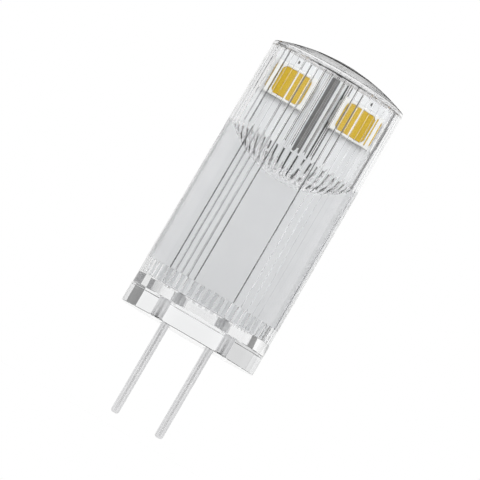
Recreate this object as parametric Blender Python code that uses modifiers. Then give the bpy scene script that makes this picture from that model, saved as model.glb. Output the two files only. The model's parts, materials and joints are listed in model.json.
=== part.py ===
"""A bi-pin LED capsule lamp: a clear grooved cover over a circuit board with four LEDs, on a clear plug base.

Units are metres. +Z runs along the lamp's axis from the pins to the dome, and the origin is the centre of the
base's seating face. The pins lie on the X axis, and the board's front face looks along -Y.
"""

import math

import bmesh
import bpy
from mathutils import Euler, Matrix, Vector

MM = 0.001

# Whole lamp
BODY_DIAMETER = 12.0 * MM
BODY_HEIGHT = 25.0 * MM
FIT_GAP = 0.03 * MM
CUTTER_OVERRUN = 0.6 * MM
SCREW_MERGE = 0.0005 * MM
ROUND_STEPS = 112
SMALL_ROUND_STEPS = 20
SHARP_ANGLE = math.radians(35)

# Clear cover: a drafted tube with a shallow dome, fine grooves down its bore and a band of teeth at the foot
COVER_DRAFT = 0.07 * MM
DOME_RISE = 1.15 * MM
DOME_STEPS = 6
RIM_ROUND = 0.16 * MM
RIM_STEPS = 3
COVER_WALL = 0.6 * MM
FLUTE_COUNT = 56
FLUTE_DEPTH = 0.1 * MM
FLUTE_LAND_SHARE = 0.68
FLUTE_FLOOR_SHARE = 0.06
TOOTH_RELIEF = 0.02 * MM
TOOTH_LAND_SHARE = 0.44
TOOTH_FLOOR_SHARE = 0.44
CEILING_DROP = 0.4 * MM
CEILING_RISE = 0.35 * MM
CEILING_SHARE = 0.97
COUNTERBORE_RELIEF = 0.02 * MM
FLUTE_FOOT_HEIGHT = 1.0 * MM

# Base plug: a flange, a ring spigot that enters the cover, and a boss round each pin
FLANGE_HEIGHT = 1.7 * MM
FLANGE_CHAMFER = 0.04 * MM
SPIGOT_HEIGHT = 1.0 * MM
SPIGOT_WALL = 0.75 * MM
SPIGOT_CLEARANCE = 0.05 * MM
BOSS_WALL = 0.27 * MM
BOSS_HEIGHT = 0.95 * MM
COUNTERSINK_DEPTH = 0.22 * MM
COUNTERSINK_FLARE = 0.2 * MM

# Contact pins
PIN_PITCH = 4.0 * MM
PIN_DIAMETER = 0.7 * MM
PIN_EXPOSED = 8.0 * MM
PIN_TIP_ROUND = 0.22 * MM
PIN_TIP_STEPS = 3

# Circuit board, which stands on the spigot in front of the two pins that are soldered to its back
BOARD_THICKNESS = 0.8 * MM
BOARD_EDGE_CLEARANCE = 0.08 * MM
BOARD_FOOT_GAP = 0.05 * MM
BOARD_HEAD_GAP = 0.06 * MM
BOARD_CORNER = 0.35 * MM
PIN_TAIL = 2.0 * MM
TOOLING_HOLE_DIAMETER = 0.3 * MM
TOOLING_HOLE_INSET = 0.36 * MM
TOOLING_HOLE_SPACING = 6.6 * MM
SOLDER_WIDTH = 1.7 * MM
SOLDER_LENGTH = 2.0 * MM
SOLDER_HEIGHT = 0.95 * MM
SOLDER_OVER_TAIL = 0.25 * MM
SOLDER_STEPS = 16

# LED package: a white housing with a cup of phosphor on two flat leads
LED_HEIGHT = 2.8 * MM
LED_THICKNESS = 0.7 * MM
LED_ROUND = 0.12 * MM
LED_EDGE_INSET = 0.45 * MM
LED_MIDDLE_INSET = 1.065 * MM
LED_HEAD_INSET = 0.82 * MM
CUP_SIDE_WALL = 0.5 * MM
CUP_HEIGHT = 2.36 * MM
CUP_DEPTH = 0.38 * MM
CUP_CORNER = 0.38 * MM
CORNER_STEPS = 4
PHOSPHOR_RECESS = 0.03 * MM
LEAD_THICKNESS = 0.1 * MM
LEAD_STICK_OUT = 0.08 * MM
LEAD_GAP = 0.9 * MM
LEAD_WIDTH = 1.9 * MM

# Bridge rectifier with four gull-wing leads
RECTIFIER_WIDTH = 4.0 * MM
RECTIFIER_LENGTH = 3.6 * MM
RECTIFIER_THICKNESS = 1.2 * MM
RECTIFIER_FOOT_GAP = 2.55 * MM
GULL_WIDTH = 0.6 * MM
GULL_THICKNESS = 0.2 * MM
GULL_SHOULDER = 0.3 * MM
GULL_DROP = 0.25 * MM
GULL_FOOT = 0.5 * MM
GULL_PITCH = 2.0 * MM

# Current driver in a flat-lead package with a cooling tab
DRIVER_WIDTH = 4.4 * MM
DRIVER_LENGTH = 2.4 * MM
DRIVER_THICKNESS = 1.4 * MM
DRIVER_LEAD_WIDTH = 0.45 * MM
DRIVER_LEAD_LENGTH = 0.6 * MM
DRIVER_LEAD_THICKNESS = 0.35 * MM
DRIVER_LEAD_PITCH = 1.5 * MM
DRIVER_LEAD_COUNT = 3
DRIVER_TAB_WIDTH = 1.7 * MM
DRIVER_TAB_LENGTH = 0.5 * MM

# Chip capacitors and resistors
CAPACITOR_WIDTH = 3.2 * MM
CAPACITOR_LENGTH = 1.6 * MM
CAPACITOR_THICKNESS = 1.2 * MM
CAPACITOR_SPACING = 4.2 * MM
RESISTOR_WIDTH = 1.25 * MM
RESISTOR_LENGTH = 2.0 * MM
RESISTOR_THICKNESS = 0.5 * MM
RESISTOR_SIDE_GAP = 0.6 * MM
CHIP_ROUND = 0.07 * MM
CHIP_ROW_GAP = 0.3 * MM

# Clear silicone filling with a meniscus that climbs the wall and the board
FILL_HEADROOM = 6.6 * MM
AIR_POCKET = 1.3 * MM
MENISCUS_SAG = 3.2 * MM
MENISCUS_STEEPNESS_SHARE = 0.75
MENISCUS_COLUMNS = 24
MENISCUS_ROWS = 9

# Sizes worked out from the ones above
BODY_RADIUS = BODY_DIAMETER / 2
RIM_RADIUS = BODY_RADIUS - COVER_DRAFT
RIM_LEVEL = BODY_HEIGHT - DOME_RISE
CEILING_LEVEL = RIM_LEVEL - CEILING_DROP
SEAM_LEVEL = FLANGE_HEIGHT + FIT_GAP
FLUTE_ROOT_RADIUS = RIM_RADIUS - COVER_WALL
FLUTE_TIP_RADIUS = FLUTE_ROOT_RADIUS - FLUTE_DEPTH
FLUTE_FOOT_LEVEL = SEAM_LEVEL + FLUTE_FOOT_HEIGHT
SPIGOT_RADIUS = FLUTE_TIP_RADIUS - SPIGOT_CLEARANCE
SPIGOT_TOP = FLANGE_HEIGHT + SPIGOT_HEIGHT
PIN_RADIUS = PIN_DIAMETER / 2
PIN_HOLE_RADIUS = PIN_RADIUS + FIT_GAP
BOSS_RADIUS = PIN_HOLE_RADIUS + BOSS_WALL
BOARD_BACK = -PIN_HOLE_RADIUS
BOARD_FRONT = BOARD_BACK - BOARD_THICKNESS
BOARD_HALF_WIDTH = math.sqrt(FLUTE_TIP_RADIUS**2 - BOARD_FRONT**2) - BOARD_EDGE_CLEARANCE
BOARD_FOOT = SPIGOT_TOP + BOARD_FOOT_GAP
BOARD_HEAD = CEILING_LEVEL - BOARD_HEAD_GAP
PIN_TOP = BOARD_FOOT + PIN_TAIL
SOLDER_LEVEL = PIN_TOP + SOLDER_OVER_TAIL - SOLDER_LENGTH / 2
LED_WIDTH = BOARD_HALF_WIDTH - LED_EDGE_INSET - LED_MIDDLE_INSET
LED_OFFSET = LED_MIDDLE_INSET + LED_WIDTH / 2
CUP_WIDTH = LED_WIDTH - 2 * CUP_SIDE_WALL
LED_LEVEL = BOARD_HEAD - LED_HEAD_INSET - LED_HEIGHT / 2
FILL_FOOT = SPIGOT_TOP + AIR_POCKET
FILL_LEVEL = CEILING_LEVEL - FILL_HEADROOM
FILL_TIP_RADIUS = FLUTE_TIP_RADIUS - FIT_GAP
FILL_ROOT_RADIUS = FLUTE_ROOT_RADIUS - FIT_GAP
RECTIFIER_LEVEL = BOARD_FOOT + RECTIFIER_FOOT_GAP + RECTIFIER_LENGTH / 2
CAPACITOR_LEVEL = RECTIFIER_LEVEL + (RECTIFIER_LENGTH + CAPACITOR_LENGTH) / 2 + CHIP_ROW_GAP
DRIVER_LEVEL = (
    CAPACITOR_LEVEL + (CAPACITOR_LENGTH + DRIVER_LENGTH) / 2 + DRIVER_LEAD_LENGTH + CHIP_ROW_GAP
)
RESISTOR_OFFSET = (DRIVER_WIDTH + RESISTOR_WIDTH) / 2 + RESISTOR_SIDE_GAP

SIDES = {"left": -1, "right": 1}
FACINGS = {"front": Euler((math.pi / 2, 0, 0)), "back": Euler((math.pi / 2, 0, math.pi))}


def clear_scene():
    """Removes every object that the startup file brought."""
    for obj in list(bpy.data.objects):
        bpy.data.objects.remove(obj)


def collection(name):
    """A new collection in the scene."""
    made = bpy.data.collections.new(name)
    bpy.context.scene.collection.children.link(made)
    return made


def material(name, colour, roughness, metallic=0.0, transmission=0.0):
    """A Principled material."""
    made = bpy.data.materials.new(name)
    made.use_nodes = True
    shader = made.node_tree.nodes["Principled BSDF"]
    shader.inputs["Base Color"].default_value = (*colour, 1.0)
    shader.inputs["Roughness"].default_value = roughness
    shader.inputs["Metallic"].default_value = metallic
    shader.inputs["Transmission Weight"].default_value = transmission
    return made


def link(obj, where):
    """Moves an object into one collection only."""
    for old in list(obj.users_collection):
        old.objects.unlink(obj)
    where.objects.link(obj)
    return obj


def finish(obj, name, where, look=None, parent=None):
    """Names a piece, gives it its material and shading, and hangs it on its parent."""
    obj.name = name
    obj.data.name = name
    link(obj, where)
    if look:
        obj.data.materials.clear()
        obj.data.materials.append(look)
    if parent:
        obj.parent = parent
    if obj.type == "MESH":
        obj.data.shade_smooth()
        obj.data.set_sharp_from_angle(angle=SHARP_ANGLE)
    return obj


def as_cutter(obj, name, where):
    """Marks an object as a cutter, which isn't part of the lamp."""
    finish(obj, name, where)
    obj.hide_render = True
    obj.display_type = "WIRE"
    return obj


def boolean(target, other, operation="DIFFERENCE"):
    """Adds an exact Boolean with another object."""
    modifier = target.modifiers.new(operation.lower() + "_" + other.name, "BOOLEAN")
    modifier.operation = operation
    modifier.solver = "EXACT"
    modifier.object = other


def bevel(obj, width, segments=2):
    """Rounds the edges of a box-like piece."""
    modifier = obj.modifiers.new("rounded_edges", "BEVEL")
    modifier.width = width
    modifier.segments = segments


def box(low, high):
    """A box between two corners, as an object at the origin of its frame."""
    bpy.ops.mesh.primitive_cube_add(size=1)
    obj = bpy.context.object
    size = Vector(high) - Vector(low)
    middle = (Vector(high) + Vector(low)) / 2
    obj.data.transform(Matrix.Translation(middle) @ Matrix.Diagonal((*size, 1)))
    return obj


def cylinder(radius, bottom, top, x=0.0, radius_top=None, steps=SMALL_ROUND_STEPS):
    """A cylinder or cone along Z whose axis passes through (x, 0)."""
    bpy.ops.mesh.primitive_cone_add(
        vertices=steps,
        radius1=radius,
        radius2=radius if radius_top is None else radius_top,
        depth=top - bottom,
        location=(x, 0, (top + bottom) / 2),
    )
    return bpy.context.object


def turned(profile, steps):
    """A solid of revolution about Z from a profile of (radius, height) that runs down its outer side."""
    mesh = bpy.data.meshes.new("profile")
    points = [(radius, 0, height) for radius, height in profile]
    edges = [(i, i + 1) for i in range(len(points) - 1)]
    mesh.from_pydata(points, edges, [])
    obj = bpy.data.objects.new("profile", mesh)
    bpy.context.scene.collection.objects.link(obj)
    screw = obj.modifiers.new("turn", "SCREW")
    screw.steps = steps
    screw.render_steps = steps
    screw.use_merge_vertices = True
    screw.merge_threshold = SCREW_MERGE
    return obj


def as_mesh(obj):
    """The evaluated object as a plain mesh object in the same place, with its loose caps welded."""
    bpy.context.view_layer.update()
    graph = bpy.context.evaluated_depsgraph_get()
    mesh = bpy.data.meshes.new_from_object(obj.evaluated_get(graph))
    shape = bmesh.new()
    shape.from_mesh(mesh)
    bmesh.ops.remove_doubles(shape, verts=shape.verts, dist=SCREW_MERGE)
    shape.to_mesh(mesh)
    shape.free()
    made = bpy.data.objects.new(obj.name, mesh)
    made.matrix_world = obj.matrix_world
    bpy.context.scene.collection.objects.link(made)
    bpy.data.objects.remove(obj)
    return made


def plate(outlines, bottom, top):
    """A flat outline, with its holes, made solid between two heights along its own Z."""
    curve = bpy.data.curves.new("outline", "CURVE")
    curve.dimensions = "2D"
    curve.fill_mode = "BOTH"
    curve.extrude = (top - bottom) / 2
    for outline in outlines:
        spline = curve.splines.new("POLY")
        spline.points.add(len(outline) - 1)
        for point, (x, y) in zip(spline.points, outline):
            point.co = (x, y, 0, 1)
        spline.use_cyclic_u = True
    obj = bpy.data.objects.new("outline", curve)
    bpy.context.scene.collection.objects.link(obj)
    obj.location.z = (top + bottom) / 2
    made = as_mesh(obj)
    made.data.transform(made.matrix_world)
    made.matrix_world = Matrix.Identity(4)
    return made


def arc(centre_x, centre_y, radius, start, end, steps):
    """Points on an arc, from one angle to another."""
    angles = [start + (end - start) * i / steps for i in range(steps + 1)]
    return [(centre_x + radius * math.cos(a), centre_y + radius * math.sin(a)) for a in angles]


def rounded_rectangle(width, height, corner):
    """The outline of a rectangle with rounded corners, centred on the origin."""
    points = []
    for quarter, (side_x, side_y) in enumerate(((1, 1), (-1, 1), (-1, -1), (1, -1))):
        centre_x = side_x * (width / 2 - corner)
        centre_y = side_y * (height / 2 - corner)
        start = quarter * math.pi / 2
        points += arc(centre_x, centre_y, corner, start, start + math.pi / 2, CORNER_STEPS)
    return points


def fluted_outline(tip_radius, root_radius, land_share, floor_share):
    """The outline of a grooved round bore, with each land and each groove's floor a share of the pitch."""
    pitch = 2 * math.pi / FLUTE_COUNT
    land = pitch * land_share / 2
    floor = pitch * floor_share / 2
    points = []
    for flute in range(FLUTE_COUNT):
        middle = flute * pitch
        for angle, radius in (
            (middle - floor, root_radius),
            (middle + floor, root_radius),
            (middle + pitch / 2 - land, tip_radius),
            (middle + pitch / 2 + land, tip_radius),
        ):
            points.append((radius * math.cos(angle), radius * math.sin(angle)))
    return points


def cap_sphere_radius(radius, rise):
    """The radius of the sphere whose cap has this radius and rise."""
    return (radius**2 + rise**2) / (2 * rise)


def cap_profile(radius, apex, rise, steps):
    """A spherical cap's profile, from its apex down to its rim."""
    sphere = cap_sphere_radius(radius, rise)
    half_angle = math.asin(radius / sphere)
    angles = [half_angle * i / steps for i in range(steps + 1)]
    return [(sphere * math.sin(a), apex - sphere * (1 - math.cos(a))) for a in angles]


def cover_profile():
    """The cover's outside: a dome, a rounded rim tangent to it, and a drafted side."""
    sphere = cap_sphere_radius(RIM_RADIUS, DOME_RISE)
    round_x = RIM_RADIUS - RIM_ROUND
    half_angle = math.asin(round_x / (sphere - RIM_ROUND))
    round_y = BODY_HEIGHT - sphere + (sphere - RIM_ROUND) * math.cos(half_angle)
    dome = [
        (sphere * math.sin(a), BODY_HEIGHT - sphere * (1 - math.cos(a)))
        for a in (half_angle * i / DOME_STEPS for i in range(DOME_STEPS))
    ]
    rim = arc(round_x, round_y, RIM_ROUND, math.pi / 2 - half_angle, 0, RIM_STEPS)
    return [*dome, *rim, (BODY_RADIUS, SEAM_LEVEL), (0, SEAM_LEVEL)]


def build_cover(parts, cutters, look):
    """The clear cover: its turned outside, cut by the grooves, the teeth, the ceiling and the counterbore."""
    cover = finish(turned(cover_profile(), ROUND_STEPS), "bulb_cover", parts, look)
    below = SEAM_LEVEL - CUTTER_OVERRUN
    tooth_root = FLUTE_ROOT_RADIUS + TOOTH_RELIEF
    flute_line = fluted_outline(FLUTE_TIP_RADIUS, FLUTE_ROOT_RADIUS, FLUTE_LAND_SHARE, FLUTE_FLOOR_SHARE)
    tooth_line = fluted_outline(
        FLUTE_TIP_RADIUS + TOOTH_RELIEF, tooth_root, TOOTH_LAND_SHARE, TOOTH_FLOOR_SHARE
    )
    ceiling_radius = FLUTE_TIP_RADIUS * CEILING_SHARE
    ceiling_apex = CEILING_LEVEL + CEILING_RISE
    ceiling = turned(
        [
            *cap_profile(ceiling_radius, ceiling_apex, CEILING_RISE, DOME_STEPS),
            (ceiling_radius, CEILING_LEVEL - CUTTER_OVERRUN),
            (0, CEILING_LEVEL - CUTTER_OVERRUN),
        ],
        ROUND_STEPS,
    )
    spaces = {
        "flute_cutter": plate([flute_line], below, CEILING_LEVEL),
        "tooth_cutter": plate([tooth_line], below, FILL_FOOT),
        "ceiling_cutter": ceiling,
        "counterbore_cutter": cylinder(
            tooth_root + COUNTERBORE_RELIEF, below, FLUTE_FOOT_LEVEL, steps=ROUND_STEPS
        ),
    }
    for name, space in spaces.items():
        boolean(cover, as_cutter(space, name, cutters))


def build_plug(parts, cutters, look):
    """The clear base plug with its ring spigot, pin bosses, pin holes and countersinks."""
    profile = [
        (0, FLANGE_HEIGHT),
        (SPIGOT_RADIUS - SPIGOT_WALL, FLANGE_HEIGHT),
        (SPIGOT_RADIUS - SPIGOT_WALL, SPIGOT_TOP),
        (SPIGOT_RADIUS, SPIGOT_TOP),
        (SPIGOT_RADIUS, FLANGE_HEIGHT),
        (BODY_RADIUS - FLANGE_CHAMFER, FLANGE_HEIGHT),
        (BODY_RADIUS, FLANGE_HEIGHT - FLANGE_CHAMFER),
        (BODY_RADIUS, FLANGE_CHAMFER),
        (BODY_RADIUS - FLANGE_CHAMFER, 0),
        (0, 0),
    ]
    plug = finish(turned(profile, ROUND_STEPS), "base_plug", parts, look)
    for side, sign in SIDES.items():
        x = sign * PIN_PITCH / 2
        boss = cylinder(BOSS_RADIUS, FLANGE_HEIGHT / 2, FLANGE_HEIGHT + BOSS_HEIGHT, x)
        boolean(plug, as_cutter(boss, f"pin_boss_{side}", cutters), "UNION")
    for side, sign in SIDES.items():
        x = sign * PIN_PITCH / 2
        hole = cylinder(PIN_HOLE_RADIUS, -CUTTER_OVERRUN, SPIGOT_TOP + CUTTER_OVERRUN, x)
        slope = COUNTERSINK_FLARE / COUNTERSINK_DEPTH
        flare = PIN_HOLE_RADIUS + COUNTERSINK_FLARE + CUTTER_OVERRUN * slope
        sink = cylinder(flare, -CUTTER_OVERRUN, COUNTERSINK_DEPTH, x, radius_top=PIN_HOLE_RADIUS)
        boolean(plug, as_cutter(hole, f"pin_hole_{side}", cutters))
        boolean(plug, as_cutter(sink, f"countersink_{side}", cutters))


def build_pins(parts, look):
    """The two contact pins, which run from the socket through the plug and up the back of the board."""
    tip_level = PIN_TIP_ROUND - PIN_EXPOSED
    tip = arc(PIN_RADIUS - PIN_TIP_ROUND, tip_level, PIN_TIP_ROUND, 0, -math.pi / 2, PIN_TIP_STEPS)
    for side, sign in SIDES.items():
        pin = turned([(0, PIN_TOP), (PIN_RADIUS, PIN_TOP), *tip, (0, -PIN_EXPOSED)], SMALL_ROUND_STEPS)
        pin.location.x = sign * PIN_PITCH / 2
        finish(pin, f"contact_pin_{side}", parts, look)


def build_board(parts, look):
    """The circuit board, with chamfered head corners and a small tooling hole above each LED."""
    outline = [
        (-BOARD_HALF_WIDTH, BOARD_FOOT),
        (BOARD_HALF_WIDTH, BOARD_FOOT),
        (BOARD_HALF_WIDTH, BOARD_HEAD - BOARD_CORNER),
        (BOARD_HALF_WIDTH - BOARD_CORNER, BOARD_HEAD),
        (BOARD_CORNER - BOARD_HALF_WIDTH, BOARD_HEAD),
        (-BOARD_HALF_WIDTH, BOARD_HEAD - BOARD_CORNER),
    ]
    holes = []
    for sign in SIDES.values():
        centre = (sign * TOOLING_HOLE_SPACING / 2, BOARD_HEAD - TOOLING_HOLE_INSET)
        holes.append(arc(*centre, TOOLING_HOLE_DIAMETER / 2, 0, 2 * math.pi, SMALL_ROUND_STEPS)[:-1])
    board = plate([outline, *holes], -BOARD_BACK, -BOARD_FRONT)
    board.rotation_euler = FACINGS["front"]
    finish(board, "circuit_board", parts, look)


def board_side(name, parts):
    """An empty on one face of the board: X across it, Y up the lamp and Z out of the face."""
    empty = bpy.data.objects.new(f"board_{name}_side", None)
    parts.objects.link(empty)
    empty.rotation_euler = FACINGS[name]
    empty.location.y = BOARD_FRONT if name == "front" else BOARD_BACK
    return empty


def pocket(name, side, low, high, cutters):
    """A cutter that leaves a fit gap round a piece on the board, so that the filling encloses it."""
    gap = Vector((FIT_GAP,) * 3)
    cutter = as_cutter(box(Vector(low) - gap, Vector(high) + gap), f"{name}_pocket", cutters)
    cutter.parent = side
    return cutter


def led_meshes(cutters):
    """The meshes that every LED shares, with Z out of the board: the housing, the phosphor and one lead."""
    lead_low = FIT_GAP
    housing_low = lead_low + LEAD_THICKNESS + FIT_GAP
    housing_high = housing_low + LED_THICKNESS
    cup_floor = housing_high - CUP_DEPTH
    half_width = LED_WIDTH / 2
    half_height = LED_HEIGHT / 2
    housing = box((-half_width, -half_height, housing_low), (half_width, half_height, housing_high))
    bevel(housing, LED_ROUND)
    opening = rounded_rectangle(CUP_WIDTH, CUP_HEIGHT, CUP_CORNER)
    cup = plate([opening], cup_floor, housing_high + CUTTER_OVERRUN)
    boolean(housing, as_cutter(cup, "led_cup_cutter", cutters))
    fill = rounded_rectangle(CUP_WIDTH - 2 * FIT_GAP, CUP_HEIGHT - 2 * FIT_GAP, CUP_CORNER - FIT_GAP)
    phosphor = plate([fill], cup_floor + FIT_GAP, housing_high - PHOSPHOR_RECESS)
    lead = box(
        (LEAD_GAP / 2, -LEAD_WIDTH / 2, lead_low),
        (half_width + LEAD_STICK_OUT, LEAD_WIDTH / 2, lead_low + LEAD_THICKNESS),
    )
    meshes = {}
    for key, obj in (("housing", housing), ("phosphor", phosphor), ("lead", lead)):
        made = as_mesh(obj)
        meshes[key] = made.data
        bpy.data.objects.remove(made)
    return meshes


def build_leds(sides, parts, cutters, looks):
    """Two LEDs on each face of the board, as copies that share their meshes."""
    meshes = led_meshes(cutters)
    for facing, side in sides.items():
        for hand, sign in SIDES.items():
            centre = (sign * LED_OFFSET, LED_LEVEL, 0)
            for key, turn in (("housing", 0), ("phosphor", 0), ("lead_outer", 0), ("lead_inner", math.pi)):
                mesh = meshes[key.split("_")[0]]
                look = looks[key.split("_")[0]]
                obj = bpy.data.objects.new(key, mesh)
                bpy.context.scene.collection.objects.link(obj)
                obj.location = centre
                obj.rotation_euler.z = turn if sign > 0 else math.pi - turn if "lead" in key else 0
                finish(obj, f"led_{facing}_{hand}_{key}", parts, look, side)


def gull_outline(height):
    """The side view of a gull-wing lead: a shoulder out of the body, a slope down and a foot on the pad."""
    knee = GULL_SHOULDER + GULL_DROP
    tip = knee + GULL_FOOT
    return [
        (FIT_GAP, height + GULL_THICKNESS / 2),
        (GULL_SHOULDER, height + GULL_THICKNESS / 2),
        (knee, FIT_GAP + GULL_THICKNESS),
        (tip, FIT_GAP + GULL_THICKNESS),
        (tip, FIT_GAP),
        (knee - GULL_THICKNESS / 2, FIT_GAP),
        (GULL_SHOULDER - GULL_THICKNESS / 2, height - GULL_THICKNESS / 2),
        (FIT_GAP, height - GULL_THICKNESS / 2),
    ]


def moulded_body(name, side, centre, size, look, parts, cutters):
    """A box-shaped component body on the board, with its pocket in the filling."""
    width, length, thickness = size
    x, y = centre
    low = (x - width / 2, y - length / 2, FIT_GAP)
    high = (x + width / 2, y + length / 2, FIT_GAP + thickness)
    body = box(low, high)
    bevel(body, CHIP_ROUND, 1)
    finish(body, name, parts, look, side)
    return [pocket(name, side, low, high, cutters)]


def build_rectifier(side, parts, cutters, looks):
    """The bridge rectifier and its four gull-wing leads."""
    size = (RECTIFIER_WIDTH, RECTIFIER_LENGTH, RECTIFIER_THICKNESS)
    pockets = moulded_body("rectifier_body", side, (0, RECTIFIER_LEVEL), size, looks["epoxy"], parts, cutters)
    outline = gull_outline(RECTIFIER_THICKNESS / 2)
    reach = GULL_SHOULDER + GULL_DROP + GULL_FOOT
    for hand, sign in SIDES.items():
        for row, up in (("lower", -1), ("upper", 1)):
            lead = plate([outline], -GULL_WIDTH / 2, GULL_WIDTH / 2)
            lead.rotation_euler = (math.pi / 2, 0, 0 if sign > 0 else math.pi)
            y = RECTIFIER_LEVEL + up * GULL_PITCH / 2
            lead.location = (sign * RECTIFIER_WIDTH / 2, y, 0)
            name = f"rectifier_lead_{row}_{hand}"
            finish(lead, name, parts, looks["tinned"], side)
            ends = sorted((sign * RECTIFIER_WIDTH / 2, sign * (RECTIFIER_WIDTH / 2 + reach)))
            top = (RECTIFIER_THICKNESS + GULL_THICKNESS) / 2
            low = (ends[0], y - GULL_WIDTH / 2, FIT_GAP)
            pockets.append(pocket(name, side, low, (ends[1], y + GULL_WIDTH / 2, top), cutters))
    return pockets


def build_driver(side, parts, cutters, looks):
    """The current driver with three flat leads and a cooling tab."""
    size = (DRIVER_WIDTH, DRIVER_LENGTH, DRIVER_THICKNESS)
    pockets = moulded_body("driver_body", side, (0, DRIVER_LEVEL), size, looks["epoxy"], parts, cutters)
    foot = DRIVER_LEVEL - DRIVER_LENGTH / 2 - FIT_GAP
    head = DRIVER_LEVEL + DRIVER_LENGTH / 2 + FIT_GAP
    plates = {"driver_tab": (0, DRIVER_TAB_WIDTH, head, head + DRIVER_TAB_LENGTH)}
    for number in range(DRIVER_LEAD_COUNT):
        x = (number - (DRIVER_LEAD_COUNT - 1) / 2) * DRIVER_LEAD_PITCH
        plates[f"driver_lead_{number + 1}"] = (x, DRIVER_LEAD_WIDTH, foot - DRIVER_LEAD_LENGTH, foot)
    for name, (x, width, start, end) in plates.items():
        low = (x - width / 2, start, FIT_GAP)
        high = (x + width / 2, end, FIT_GAP + DRIVER_LEAD_THICKNESS)
        finish(box(low, high), name, parts, looks["tinned"], side)
        pockets.append(pocket(name, side, low, high, cutters))
    return pockets


def build_chips(side, parts, cutters, looks):
    """Two ceramic capacitors above the rectifier and two sense resistors beside the driver."""
    pockets = []
    capacitor = (CAPACITOR_WIDTH, CAPACITOR_LENGTH, CAPACITOR_THICKNESS)
    resistor = (RESISTOR_WIDTH, RESISTOR_LENGTH, RESISTOR_THICKNESS)
    chips = (
        ("capacitor", CAPACITOR_SPACING / 2, CAPACITOR_LEVEL, capacitor, looks["ceramic"]),
        ("resistor", RESISTOR_OFFSET, DRIVER_LEVEL, resistor, looks["epoxy"]),
    )
    for kind, offset, level, size, look in chips:
        for hand, sign in SIDES.items():
            centre = (sign * offset, level)
            pockets += moulded_body(f"{kind}_{hand}", side, centre, size, look, parts, cutters)
    return pockets


def build_solder(side, parts, cutters, looks):
    """A domed solder joint over each pin's tail, on the board's back."""
    pockets = []
    board_space = box(
        (-BODY_RADIUS, BOARD_FOOT - CUTTER_OVERRUN, -BOARD_THICKNESS - CUTTER_OVERRUN),
        (BODY_RADIUS, BOARD_HEAD, FIT_GAP),
    )
    as_cutter(board_space, "solder_base_cutter", cutters).parent = side
    for hand, sign in SIDES.items():
        bpy.ops.mesh.primitive_uv_sphere_add(segments=SOLDER_STEPS, ring_count=SOLDER_STEPS // 2, radius=1)
        joint = bpy.context.object
        x = sign * PIN_PITCH / 2
        size = Matrix.Diagonal((SOLDER_WIDTH / 2, SOLDER_LENGTH / 2, SOLDER_HEIGHT, 1))
        joint.data.transform(Matrix.Translation((x, SOLDER_LEVEL, FIT_GAP)) @ size)
        pin_space = cylinder(PIN_HOLE_RADIUS, BOARD_FOOT - CUTTER_OVERRUN, PIN_TOP + FIT_GAP, -x)
        as_cutter(pin_space, f"solder_pin_cutter_{hand}", cutters)
        boolean(joint, board_space)
        boolean(joint, pin_space)
        name = f"solder_joint_{hand}"
        finish(joint, name, parts, looks["tinned"], side)
        low = (x - SOLDER_WIDTH / 2, SOLDER_LEVEL - SOLDER_LENGTH / 2, FIT_GAP)
        high = (x + SOLDER_WIDTH / 2, SOLDER_LEVEL + SOLDER_LENGTH / 2, FIT_GAP + SOLDER_HEIGHT)
        pockets.append(pocket(name, side, low, high, cutters))
    return pockets


def meniscus_height(x, depth_share):
    """The filling's height at a place across the bore, from the board at depth share 0 to the wall at 1."""
    width_share = max(1 - (x / FILL_ROOT_RADIUS) ** 2, 0)
    bowl = (4 * depth_share * (1 - depth_share)) ** MENISCUS_STEEPNESS_SHARE
    return FILL_LEVEL - MENISCUS_SAG * width_share * bowl


def meniscus_cutter(cutters):
    """The space above the filling: a sheet that sags before the board and behind it, raised to a solid."""
    shares = [row / MENISCUS_ROWS for row in range(MENISCUS_ROWS + 1)]
    rows = [(-1, share) for share in reversed(shares)] + [(1, share) for share in shares]
    last = len(rows) + 1
    bpy.ops.mesh.primitive_grid_add(x_subdivisions=MENISCUS_COLUMNS, y_subdivisions=last)
    grid = bpy.context.object
    columns = MENISCUS_COLUMNS + 1
    for index, vertex in enumerate(grid.data.vertices):
        column, row = index % columns, index // columns
        x = -FILL_ROOT_RADIUS * math.cos(math.pi * column / MENISCUS_COLUMNS)
        wall = math.sqrt(max(FLUTE_ROOT_RADIUS**2 - x**2, 0))
        if column in (0, MENISCUS_COLUMNS):
            x = math.copysign(BODY_RADIUS, x)
        if row in (0, last):
            vertex.co = (x, math.copysign(BODY_RADIUS, row - 1), FILL_LEVEL)
            continue
        half, share = rows[row - 1]
        start = BOARD_FRONT if half < 0 else BOARD_BACK
        end = half * max(wall, CUTTER_OVERRUN - BOARD_FRONT)
        vertex.co = (x, start + share * (end - start), meniscus_height(x, share))
    shape = bmesh.new()
    shape.from_mesh(grid.data)
    raised = bmesh.ops.extrude_face_region(shape, geom=shape.faces[:])["geom"]
    for vertex in (v for v in raised if isinstance(v, bmesh.types.BMVert)):
        vertex.co.z = BODY_HEIGHT
    bmesh.ops.recalc_face_normals(shape, faces=shape.faces)
    shape.to_mesh(grid.data)
    shape.free()
    return as_cutter(grid, "meniscus_cutter", cutters)


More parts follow.
